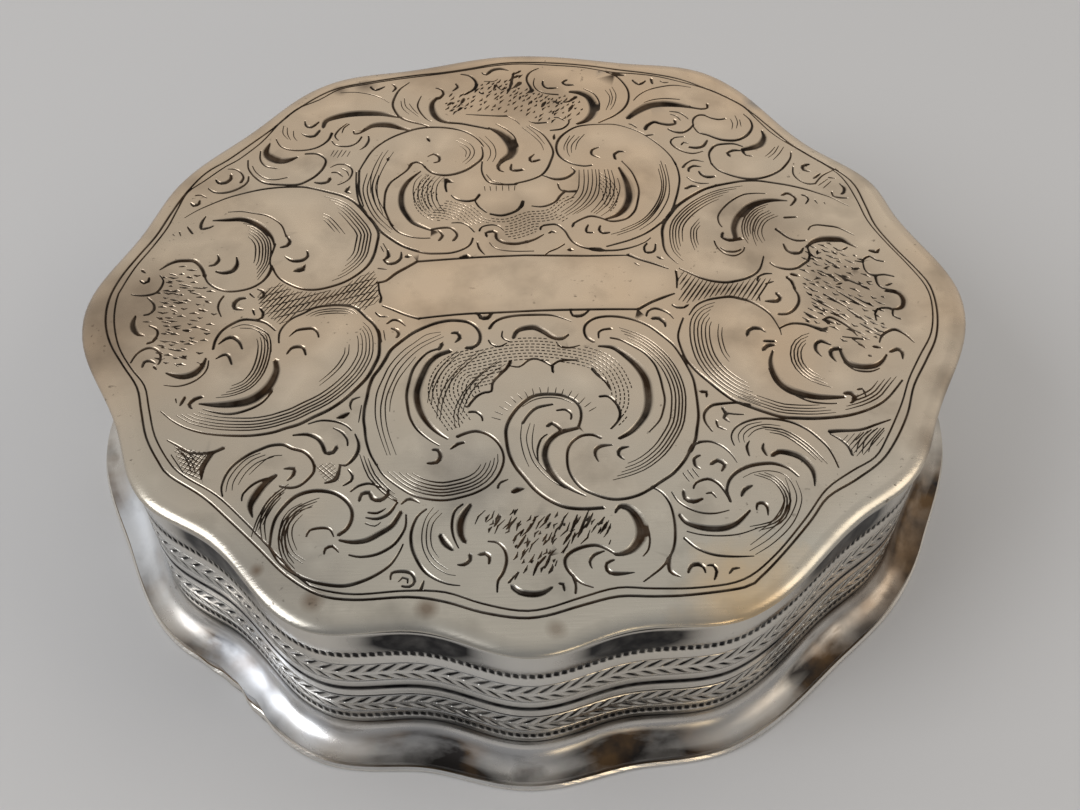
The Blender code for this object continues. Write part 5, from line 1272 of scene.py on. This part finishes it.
def rolled_silver(
    name, light, warm, tarnish, roughness, scratch=0.3, wave=0.5, front=None,
    clouding=(0.58, 0.80, 0.35), streak=(1, 1, 1), rust=None, films=(), rubbed_and_highlit=(), painted_flank_glint=0.0,
):
    """Old silver: two tones that drift into each other, dark where it is cut, finely scratched.

    The same dark tone also carries painted shade and reflection, from each piece's cut
    attribute. Front is a tone painted towards the viewer, as painted reflection. Clouding is
    how cloudy the silver is, and streak how drawn out its dark clouds and patches are. Films are
    patches under the dark tone, and the highlit patches, painted highlights, are over it. The
    flank glint is how far down a cut's left-facing side, towards the main lamp, the dark tone is
    left off as a painted glint.
    """
    material = bpy.data.materials.new(name)
    tree, shader = node_tree(material)
    nodes, links = tree.nodes, tree.links
    place = nodes.new("ShaderNodeTexCoord").outputs["Object"]

    def noise(scale, detail=4.0, stretch=None):
        texture = nodes.new("ShaderNodeTexNoise")
        texture.inputs["Scale"].default_value = scale
        texture.inputs["Detail"].default_value = detail
        if stretch:
            mapping = nodes.new("ShaderNodeMapping")
            mapping.inputs["Rotation"].default_value = stretch[0]
            mapping.inputs["Scale"].default_value = stretch[1]
            links.new(place, mapping.inputs["Vector"])
            links.new(mapping.outputs["Vector"], texture.inputs["Vector"])
        else:
            links.new(place, texture.inputs["Vector"])
        return texture.outputs["Fac"]

    def spread(value, low, high, to_low=0.0, to_high=1.0):
        ranged = nodes.new("ShaderNodeMapRange")
        ranged.inputs["From Min"].default_value = low
        ranged.inputs["From Max"].default_value = high
        ranged.inputs["To Min"].default_value = to_low
        ranged.inputs["To Max"].default_value = to_high
        links.new(value, ranged.inputs["Value"])
        return ranged.outputs["Result"]

    def math_node(kind, a, b):
        node = nodes.new("ShaderNodeMath")
        node.operation = kind
        for socket, value in zip(node.inputs, (a, b)):
            if isinstance(value, float):
                socket.default_value = value
            else:
                links.new(value, socket)
        return node.outputs["Value"]

    def mix(factor, a, b):
        node = nodes.new("ShaderNodeMix")
        node.data_type = "RGBA"
        links.new(factor, node.inputs["Factor"])
        for socket, value in ((node.inputs[6], a), (node.inputs[7], b)):
            if isinstance(value, tuple):
                socket.default_value = (*value, 1)
            else:
                links.new(value, socket)
        return node.outputs[2]

    drift = spread(noise(DRIFT_SCALE, 3), 0.35, 0.65)
    # The cut attribute holds the tarnish in each piece's cuts and the shade and reflection painted into it.
    cut = nodes.new("ShaderNodeAttribute")
    cut.attribute_name = "cut"
    if streak == (1, 1, 1):
        patchy = spread(noise(CUT_PATCH_SCALE, 3), 0.25, 0.6, 0.88, 1.0)
    else:
        patchy = spread(noise(STREAK_SCALE, 6, ((0, 0, 0), streak)), 0.40, 0.55, 0.55, 1.0)
    stain_and_shade_share = cut.outputs["Fac"]
    # The flank of a cut that faces left, towards the main lamp, is left clean near its lip as a painted
    # glint.
    if painted_flank_glint:
        facing = nodes.new("ShaderNodeSeparateXYZ")
        links.new(nodes.new("ShaderNodeTexCoord").outputs["Normal"], facing.inputs["Vector"])
        flank_glint = spread(facing.outputs["X"], *FLANK_FACING, 0.0, painted_flank_glint)
        stain_and_shade_share = math_node("SUBTRACT", stain_and_shade_share, flank_glint)
    cut_stain_and_shade = math_node("MULTIPLY", spread(stain_and_shade_share, 0.0, DARKEST_FROM), patchy)
    cloud = spread(noise(CLOUD_SCALE, 7, ((0, 0, 0), streak)), clouding[0], clouding[1], 0.0, clouding[2])
    specks = spread(noise(SPECK_SCALE, 2), 0.66, 0.74, 0.0, 0.8)
    specks = math_node("MULTIPLY", specks, spread(noise(SPECK_GROUP_SCALE, 2), 0.5, 0.7))
    # The dark tone's mask: tarnish in the cuts, painted shade and reflection, clouds and specks.
    dirt_and_painted_shade = math_node("MAXIMUM", math_node("MAXIMUM", cut_stain_and_shade, cloud), specks)
    if rust:
        tarnish = mix(spread(noise(FILM_SCALE, 4), 0.45, 0.62), tarnish, rust)
    colour = mix(drift, light, warm)
    if front:
        parts = nodes.new("ShaderNodeSeparateXYZ")
        links.new(place, parts.inputs["Vector"])
        depth = math_node("ADD", parts.outputs["Y"], math_node("MULTIPLY", drift, FRONT_DRIFT))
        colour = mix(spread(depth, *FRONT_FADE), front, colour)

    def patch(under, x, y, z, radius, strength, tint):
        """A ragged patch of another tone, round a point in millimetres."""
        away = nodes.new("ShaderNodeVectorMath")
        away.operation = "DISTANCE"
        away.inputs[1].default_value = (x * MM, y * MM, z * MM)
        links.new(place, away.inputs[0])
        raggedness = math_node("MULTIPLY", noise(FILM_SCALE, 6), 1.4 * radius * MM)
        ragged = math_node("ADD", away.outputs["Value"], raggedness)
        share = spread(ragged, 1.75 * radius * MM, 0.85 * radius * MM, 0.0, strength)
        return mix(share, under, tint)

    for film in films:
        colour = patch(colour, *film)
    # The films go under the dark tone, and the bright patches, painted highlights, go over it.
    colour = mix(dirt_and_painted_shade, colour, tarnish)
    for spot in rubbed_and_highlit:
        colour = patch(colour, *spot)
    links.new(colour, shader.inputs["Base Color"])
    shader.inputs["Metallic"].default_value = 1.0
    worn = spread(noise(WEAR_SCALE, 5), 0.3, 0.7, roughness - 0.06, roughness + 0.08)
    rough = math_node("ADD", worn, math_node("MULTIPLY", dirt_and_painted_shade, DIRT_AND_SHADE_ROUGHNESS))
    links.new(rough, shader.inputs["Roughness"])
    hairs = noise(HAIR_SCALE, 2, HAIRS)
    hairs_across = noise(CROSS_HAIR_SCALE, 2, CROSS_HAIRS)
    dents = noise(DENT_SCALE, 2)
    height = math_node(
        "ADD",
        math_node("MULTIPLY", math_node("ADD", hairs, hairs_across), scratch),
        math_node("MULTIPLY", dents, wave),
    )
    bump = nodes.new("ShaderNodeBump")
    bump.inputs["Strength"].default_value = BUMP_STRENGTH
    bump.inputs["Distance"].default_value = BUMP_HEIGHT
    links.new(height, bump.inputs["Height"])
    links.new(bump.outputs["Normal"], shader.inputs["Normal"])
    return material


plate = engraved_plate()
# Thin films of tarnish, and a painted golden sheen on the front right rim: where each is and how
# far it reaches, its strength and its tone.
BROWN = (0.20, 0.15, 0.11)
GREY = (0.26, 0.24, 0.22)
GOLD_SHEEN = (0.72, 0.50, 0.25)
plate_silver = rolled_silver(
    "plate_silver",
    light=(0.605, 0.505, 0.388),
    warm=(0.625, 0.475, 0.33),
    tarnish=(0.020, 0.014, 0.010),
    roughness=0.25,
    scratch=0.10,
    wave=0.9,
    # The front tone is painted reflection: the lid is painted darker and cooler towards the viewer.
    front=(0.52, 0.49, 0.425),
    clouding=(0.50, 0.80, 0.40),
    rust=(0.05, 0.030, 0.017),
    # A painted glint on the left-facing flank of each cut.
    painted_flank_glint=0.22,
    films=(
        (-28.0, -2.0, 14, 6.5, 0.60, BROWN),
        (-6.0, 24.5, 14, 4.0, 0.35, BROWN),
        (16.4, 6.0, 14, 5.0, 0.40, BROWN),
        (-4.0, -14.9, 14, 4.0, 0.50, GREY),
        (-15.7, -22.0, 14, 6.0, 0.45, GREY),
        # A painted golden sheen on the front right rim.
        (12.1, -24.5, 14, 5.0, 0.65, GOLD_SHEEN),
        (0.0, 20.8, 14, 4.0, 0.35, BROWN),
        (21.0, 0.0, 14, 3.6, 0.40, BROWN),
        (-22.3, -1.5, 14, 3.6, 0.30, BROWN),
        (0.5, -19.6, 14, 3.4, 0.25, BROWN),
        (-0.4, 6.9, 14, 3.0, 0.30, BROWN),
        (4.6, 9.6, 14, 2.4, 0.30, BROWN),
        (-13.5, 0.0, 14, 2.2, 0.30, BROWN),
        (13.0, 0.0, 14, 2.2, 0.30, BROWN),
        (26.2, -8.6, 14, 1.7, 0.60, BROWN),
        (24.2, -13.2, 14, 1.5, 0.55, BROWN),
        (-12.0, 22.8, 14, 0.9, 0.80, BROWN),
        (-14.0, 22.2, 14, 0.7, 0.80, BROWN),
        (18.0, 20.0, 14, 1.0, 0.70, GREY),
        (-6.0, -23.9, 14, 0.7, 0.80, BROWN),
        (-15.5, -21.2, 14, 0.5, 0.85, BROWN),
        (-12.3, -23.3, 14, 0.7, 0.80, BROWN),
        (1.0, -25.3, 14, 0.6, 0.55, BROWN),
    ),
)
plate.data.materials.append(plate_silver)
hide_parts("lid_plate")
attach(plate, "lid")

# Banded lid wall
# The lid's side is a strip of silver, rolled between patterned dies and bent to the
# outline: a row of punched dots above, and a band of wheat ears between two lines. The
# pattern is one short length of strip, repeated all the way round.

WALL_THICKNESS = 0.50
WALL_OUTER = -0.30
WALL_INNER = WALL_OUTER - WALL_THICKNESS
WALL_HOLLOW_FILL = 0.20
SEAM_GAP = 0.30
LID_WALL_BOTTOM = 6.98
EDGE_EASE = 0.06
# The pattern comes REPEATS times round, in COLUMNS columns of points. A spot or a lean is a
# share of one repeat.
REPEATS = 189
COLUMNS = 4
EAR_SPOT = 0.25
EAR_LEAN = 0.81
EAR_FOOT_LEAN = 0.40
EAR_DEPTH = 0.14
LEAF_RISE = 0.03
LIP_DEPTH = 0.02
DOT_SPOTS = np.arange(1, 8, 2) / 8
DOT_DEPTH = 0.11
LINE_HALF_WIDTH = 0.07
STAIN_DEPTH = 0.107
WALL_SMOOTH_ANGLE = 32


def level(z, lean, depths=(0,) * COLUMNS, spots=DOT_SPOTS, shade=0.0, hollow_shade=0.0):
    """One ring of the repeated pattern: where its points stand and how deep each is cut."""
    return {
        "z": z,
        "spots": np.array(spots) + lean,
        "depths": np.array(depths, float),
        "shade": shade,
        "hollow_shade": hollow_shade,
    }


def ear_levels(top, bottom):
    """A wheat ear: a bold cut falling to the left, a bare stem, and a finer cut going to the right."""
    height = top - bottom
    rows = []
    # How far down, how far along, how deep and half how wide, each as a share.
    for share, lean, deep, half in (
        (0.00, 0.81, 0.80, 0.12),
        (0.11, 0.62, 0.95, 0.15),
        (0.24, 0.38, 1.00, 0.19),
        (0.38, 0.13, 1.00, 0.22),
        (0.45, 0.00, 0.80, 0.18),
        (0.48, -0.06, 0.00, 0.10),
        (0.60, -0.26, 0.00, 0.10),
        (0.64, -0.35, 0.00, 0.12),
        (0.69, -0.31, 1.00, 0.20),
        (0.80, -0.12, 0.95, 0.18),
        (0.92, 0.16, 0.75, 0.14),
        (1.00, EAR_FOOT_LEAN, 0.50, 0.10),
    ):
        spots = [EAR_SPOT + side * half for side in (-1, 0, 1)] + [EAR_SPOT + 0.5]
        lip = LIP_DEPTH if deep else 0
        rise = -LEAF_RISE if deep else 0
        rows.append(level(top - height * share, lean, (lip, EAR_DEPTH * deep, lip, rise), spots))
    return rows


def line_levels(z, lean, deep=0.08, half=LINE_HALF_WIDTH):
    """A line engraved all the way round."""
    return [level(z + half, lean), level(z, lean, (deep,) * COLUMNS), level(z - half, lean)]


def dot_levels(z, lean, height, hollow_shade=0.0):
    """A row of punched dots."""
    half = height / 2
    pit = (0, DOT_DEPTH, 0, DOT_DEPTH)
    return [
        level(z + half, lean, hollow_shade=hollow_shade),
        level(z + 0.55 * half, lean, pit),
        level(z - 0.55 * half, lean, pit),
        level(z - half, lean),
    ]


def way_along(loop):
    """How far along a closed loop each point is, as a share of the whole way, with the end."""
    gaps = np.linalg.norm(np.roll(loop, -1, 0) - loop, axis=1)
    return np.concatenate(([0], np.cumsum(gaps))) / gaps.sum()


def banded_wall(name, levels, top, bottom, top_shade, bottom_shade, hollow_shade_top, hollow_shade_bottom):
    """A closed strip round the outline. Each level is a ring of points at one height."""
    outer = outline_loop(WALL_OUTER, WALL_HOLLOW_FILL)
    way = way_along(outer)
    closed = np.vstack((outer, outer[:1]))
    facing = np.vstack((OUTWARD, OUTWARD[:1]))
    hollow = np.append(HOLLOWNESS, HOLLOWNESS[0])
    points, cut = [], []

    def ring(row, inward=0.0):
        share = ((np.arange(REPEATS)[:, None] + row["spots"][None, :]).ravel() / REPEATS) % 1
        base = np.column_stack([np.interp(share, way, closed[:, k]) for k in range(2)])
        face = np.column_stack([np.interp(share, way, facing[:, k]) for k in range(2)])
        face /= np.linalg.norm(face, axis=1)[:, None]
        sunk = np.tile(row["depths"], REPEATS)
        flat = base - (inward + sunk)[:, None] * face
        points.extend((x, y, row["z"]) for x, y in flat)
        # Dark is the tarnish in the cuts, plus the ring's painted shade and more painted shade in the
        # outline's hollows.
        dark = sunk / STAIN_DEPTH + row["shade"] + row["hollow_shade"] * np.interp(share, way, hollow) ** 2
        cut.extend(np.clip(dark, 0, 1))

    lean = levels[0]["spots"][0] - DOT_SPOTS[0]
    # The edges are painted dark as shade where the strip meets the rim, the seam and the foot, and the
    # outline's hollows under the top and over the bottom as painted shade and reflection.
    ring(level(top, lean, shade=top_shade), EDGE_EASE)
    ring(level(top - EDGE_EASE, lean, shade=top_shade))
    ring(level(top - 5 * EDGE_EASE, lean))
    ring(level(top - 11 * EDGE_EASE, lean, hollow_shade=hollow_shade_top))
    for row in levels:
        ring(row)
    lean = levels[-1]["spots"][0] - DOT_SPOTS[0]
    ring(level(bottom + 4 * EDGE_EASE, lean, shade=0.1, hollow_shade=hollow_shade_bottom))
    ring(level(bottom + EDGE_EASE, lean, shade=bottom_shade))
    ring(level(bottom, lean, shade=bottom_shade), EDGE_EASE)
    for share in (0, 1 / 3, 2 / 3, 1):
        ring(level(bottom + (top - bottom) * share, lean), WALL_THICKNESS)
    around = COLUMNS * REPEATS
    rings = len(points) // around
    faces = []
    for r in range(rings):
        for k in range(around):
            after = (k + 1) % around
            below = (r + 1) % rings
            faces.append((r * around + k, below * around + k, below * around + after, r * around + after))
    return mesh_piece(name, points, faces, cut, WALL_SMOOTH_ANGLE)


HINGE_LENGTH = 13.0
BARREL_RADIUS = 1.0
HINGE_Y = 27.0
HINGE_Z = 6.9


def clear_the_barrel(piece):
    """Cuts the seat of the hinge barrel out of a wall."""
    bpy.ops.mesh.primitive_cylinder_add(
        vertices=48,
        radius=(BARREL_RADIUS + SEAM_GAP) * MM,
        depth=(HINGE_LENGTH + 2 * SEAM_GAP) * MM,
        location=(0, HINGE_Y * MM, HINGE_Z * MM),
        rotation=(0, math.pi / 2, 0),
    )
    cutter = bpy.context.object
    seat = piece.modifiers.new("seat", "BOOLEAN")
    seat.operation = "DIFFERENCE"
    seat.solver = "EXACT"
    seat.object = cutter
    bpy.ops.object.select_all(action="DESELECT")
    bpy.context.view_layer.objects.active = piece
    piece.select_set(True)
    bpy.ops.object.modifier_apply(modifier=seat.name)
    piece.select_set(False)
    bpy.data.objects.remove(cutter)


LID_DOTS = 10.85
LID_EAR_TOP = 9.62
LID_EAR_BOTTOM = 7.88
# Under the rim the outline's hollows are painted near black down to the dots, as painted shade and
# reflection.
lid_levels = [
    level(12.0, EAR_LEAN, hollow_shade=1.0),
    *dot_levels(LID_DOTS, EAR_LEAN, 0.62, hollow_shade=0.5),
    *line_levels(LID_EAR_TOP + 0.10, EAR_LEAN),
    *ear_levels(LID_EAR_TOP, LID_EAR_BOTTOM),
    *line_levels(LID_EAR_BOTTOM - 0.13, EAR_FOOT_LEAN, 0.05),
]
lid_band = banded_wall("lid_band", lid_levels, 13.46, LID_WALL_BOTTOM, 1.0, 0.5, 1.0, 0.1)
clear_the_barrel(lid_band)
band_silver = rolled_silver(
    "band_silver",
    light=(0.70, 0.69, 0.66),
    warm=(0.70, 0.65, 0.57),
    tarnish=(0.012, 0.011, 0.012),
    roughness=0.19,
    scratch=0.15,
    wave=1.2,
    films=((27.0, -15.0, 6, 9.0, 0.65, BROWN),),
)
lid_band.data.materials.append(band_silver)
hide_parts("lid_wall")
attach(lid_band, "lid")

# Banded body wall
# The body's side is a second length of the same patterned strip, turned over: its wheat
# ears are above and its dots just over the foot. It stands on the foot moulding.

BODY_WALL_TOP = 6.83
BODY_WALL_BOTTOM = 2.40
BODY_EAR_TOP = 5.69
BODY_EAR_BOTTOM = 4.05
BODY_DOTS = 3.29
body_levels = [
    *line_levels(BODY_EAR_TOP + 0.15, EAR_LEAN, 0.13, 0.13),
    *ear_levels(BODY_EAR_TOP, BODY_EAR_BOTTOM),
    *line_levels(BODY_EAR_BOTTOM - 0.13, EAR_FOOT_LEAN, 0.08),
    *dot_levels(BODY_DOTS, EAR_FOOT_LEAN, 0.60),
]
body_band = banded_wall("body_band", body_levels, BODY_WALL_TOP, BODY_WALL_BOTTOM, 0.5, 0.5, 0.1, 0.3)
clear_the_barrel(body_band)
body_band.data.materials.append(band_silver)
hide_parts("body_wall")
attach(body_band, "body")

# Foot moulding
# A plain quarter hollow is drawn from thin silver and soldered between the wall and the
# base. It flares out to the base's edge, and tarnish has gathered along its foot. The creases
# where it meets the wall and the base are darkened with painted shade.

MOULDING_TOP = BODY_WALL_BOTTOM
MOULDING_BOTTOM = 0.50
COVE_FOOT = 0.975
FLANGE_REACH = 1.80
FLANGE_STEP = 0.20
FLANGE_HOLLOW_FILL = 0.45
COVE_STEPS = 12
# How dark the hollow is painted from the wall down to its foot, step by step: tarnish, with
# painted shade in the creases at the wall and the foot.
COVE_TARNISH_AND_SHADE = (0.9, 0.3, 0.15, 0.1, 0.2, 0.4, 0.6, 0.65, 0.6, 0.55, 0.55, 0.8, 1.0)
# A knock has crumpled the foot at the left front corner: where, how far round, how deep.
KNOCK = (-18.5, -21.8)
KNOCK_REACH = 5.0
KNOCK_DEPTH = 0.32
KNOCK_TOP = 2.2
KNOCK_FADE = 1.2


def knocked(x, y, z):
    """A point of the foot, pushed in and rippled where the box was once knocked."""
    far = math.hypot(x - KNOCK[0], y - KNOCK[1]) / KNOCK_REACH
    if far > 2 or z > KNOCK_TOP:
        return x, y, z
    crumple = math.sin(1.4 * x + 1.9 * z) * math.sin(1.2 * y - 2.1 * z)
    crumple += 0.4 * math.sin(2.1 * (x - y) + 3 * z)
    fade = min(1, (KNOCK_TOP - z) / KNOCK_FADE)
    inward = KNOCK_DEPTH * math.exp(-2 * far**2) * (0.45 + 0.55 * crumple) * fade
    out = math.hypot(x, y)
    return x - inward * x / out, y - inward * y / out, z


LOOPED_SMOOTH_ANGLE = 40
# The share of a ring's painted darkness that the lobes' tips keep.
TIP_SHADE_SHARE = 0.25


def looped_piece(name, profile, capped=False):
    """A piece that follows the outline, from rings of (offset, height, hollow fill, shade)."""
    points, cut = [], []
    around = len(OUTLINE)
    for offset, z, hollow_fill, shade in profile:
        points += [knocked(x, y, z) for x, y in outline_loop(offset, hollow_fill)]
        # Each ring's darkness is painted stronger in the outline's hollows as shade, and the lobes' tips
        # keep only a share of it.
        cut += list(np.clip(shade * (TIP_SHADE_SHARE + (1 - TIP_SHADE_SHARE) * HOLLOWNESS), 0, 1))
    rings = len(profile)
    faces = []
    for r in range(rings - 1 if capped else rings):
        for k in range(around):
            after = (k + 1) % around
            below = (r + 1) % rings
            faces.append((r * around + k, below * around + k, below * around + after, r * around + after))
    if capped:
        faces.append(tuple(range(around)))
        faces.append(tuple(reversed(range((rings - 1) * around, rings * around))))
    return mesh_piece(name, points, faces, cut, LOOPED_SMOOTH_ANGLE)


cove = [
    (WALL_INNER, MOULDING_BOTTOM, WALL_HOLLOW_FILL, 0.0),
    (WALL_INNER, MOULDING_TOP, WALL_HOLLOW_FILL, 0.0),
]
foot_reach = FLANGE_REACH - FLANGE_STEP
for step in range(COVE_STEPS + 1):
    angle = math.pi / 2 * step / COVE_STEPS
    spread = 1 - math.cos(angle)
    cove.append(
        (
            WALL_OUTER + (foot_reach - WALL_OUTER) * spread,
            MOULDING_TOP - (MOULDING_TOP - COVE_FOOT) * math.sin(angle),
            WALL_HOLLOW_FILL + (FLANGE_HOLLOW_FILL - WALL_HOLLOW_FILL) * spread,
            COVE_TARNISH_AND_SHADE[step],
        )
    )
cove.append((foot_reach, MOULDING_BOTTOM, FLANGE_HOLLOW_FILL, 1.0))
moulding = looped_piece("foot_moulding", cove)
cove_silver = rolled_silver(
    "cove_silver",
    light=(0.70, 0.69, 0.67),
    warm=(0.68, 0.63, 0.56),
    tarnish=(0.030, 0.027, 0.026),
    roughness=0.20,
    scratch=0.04,
    wave=2.6,
    # The dark clouds drawn out round the hollow are painted reflection, over brown tarnish.
    clouding=(0.52, 0.72, 0.70),
    streak=(1, 1, 6),
    rust=(0.12, 0.075, 0.04),
    films=((26.5, -13.0, 1, 10.0, 0.95, (0.18, 0.115, 0.065)),),
    # Bluish-white patches over the dark tone: painted highlights on the knocked left front, which is also
    # worn bright.
    rubbed_and_highlit=(
        (-28.5, -10.0, 1, 6.5, 0.75, (0.80, 0.83, 0.87)),
        (-18.5, -21.8, 1, 4.0, 0.85, (0.84, 0.87, 0.92)),
        (-14.0, -25.0, 1, 2.0, 0.60, (0.84, 0.87, 0.92)),
    ),
)
moulding.data.materials.append(cove_silver)
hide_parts("base_moulding")
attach(moulding, "body")

# Base plate
# The base is a flat lobed sheet with a narrow flange all round the foot. Its edge is worn
# bright where it has rubbed on tables.

BASE_THICKNESS = 0.50
FLANGE_BEVEL = 0.12
# The sheet runs under the foot by FOOT_LAP, and a shadow is painted along the foot's edge, from
# SHADOW_INSET inside it to SHADOW_REACH outside.
FOOT_LAP = 2.6
SHADOW_INSET = 0.3
SHADOW_REACH = 0.06
base = looped_piece(
    "base_sheet",
    [
        (foot_reach - FOOT_LAP, BASE_THICKNESS, FLANGE_HOLLOW_FILL, 0.15),
        (foot_reach - SHADOW_INSET, BASE_THICKNESS, FLANGE_HOLLOW_FILL, 0.4),
        (foot_reach + SHADOW_REACH, BASE_THICKNESS, FLANGE_HOLLOW_FILL, 0.7),
        (FLANGE_REACH - FLANGE_BEVEL, BASE_THICKNESS, FLANGE_HOLLOW_FILL, 0.0),
        (FLANGE_REACH, BASE_THICKNESS - FLANGE_BEVEL, FLANGE_HOLLOW_FILL, 0.0),
        (FLANGE_REACH, FLANGE_BEVEL, FLANGE_HOLLOW_FILL, 0.1),
        (FLANGE_REACH - FLANGE_BEVEL, 0, FLANGE_HOLLOW_FILL, 0.1),
    ],
    capped=True,
)
base_silver = rolled_silver(
    "base_silver", (0.76, 0.74, 0.70), (0.74, 0.68, 0.60), (0.14, 0.10, 0.06), 0.24, 0.3, 0.8
)
base.data.materials.append(base_silver)
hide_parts("base_plate")
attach(base, "body")

# Bezel
# A thin upstand of silver is soldered inside the body's wall. The lid closes round it, and
# the sliding has polished it.

inner_silver = rolled_silver(
    "inner_silver", (0.80, 0.77, 0.72), (0.80, 0.73, 0.62), (0.20, 0.13, 0.07), 0.30, 0.5, 0.4
)
BEZEL_THICKNESS = 0.40
BEZEL_OUTER = WALL_INNER - SEAM_GAP
BEZEL_INNER = BEZEL_OUTER - BEZEL_THICKNESS
BEZEL_TOP = 8.55
BEZEL_BOTTOM = 3.75
BEZEL_EASE = 0.13
bezel = looped_piece(
    "bezel_strip",
    [
        (BEZEL_INNER, BEZEL_BOTTOM, WALL_HOLLOW_FILL, 0.5),
        (BEZEL_INNER, BEZEL_BOTTOM + BEZEL_EASE, WALL_HOLLOW_FILL, 0.2),
        (BEZEL_INNER, BEZEL_TOP - BEZEL_EASE / 2, WALL_HOLLOW_FILL, 0.0),
        (BEZEL_INNER + BEZEL_EASE / 2, BEZEL_TOP, WALL_HOLLOW_FILL, 0.0),
        (BEZEL_OUTER - BEZEL_EASE, BEZEL_TOP, WALL_HOLLOW_FILL, 0.0),
        (BEZEL_OUTER, BEZEL_TOP - BEZEL_EASE, WALL_HOLLOW_FILL, 0.1),
        (BEZEL_OUTER, BEZEL_BOTTOM, WALL_HOLLOW_FILL, 0.5),
    ],
)
bezel.data.materials.append(inner_silver)
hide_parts("bezel")
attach(bezel, "body")

# Hinge
# Five tube knuckles sit on one silver pin behind the box, three soldered to the body's
# bearer and two to the lid's. They are rubbed bright on the outside.

hinge_silver = rolled_silver(
    "hinge_silver", (0.62, 0.58, 0.52), (0.60, 0.52, 0.42), (0.05, 0.035, 0.025), 0.26, 0.3, 0.4
)
HINGE_NODES = (
    "body_hinge_bearer",
    "lid_hinge_bearer",
    "body_knuckle_left",
    "lid_knuckle_left",
    "body_knuckle_middle",
    "lid_knuckle_right",
    "body_knuckle_right",
    "hinge_pin",
)
for node in HINGE_NODES:
    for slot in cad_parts[node].material_slots:
        slot.material = hinge_silver
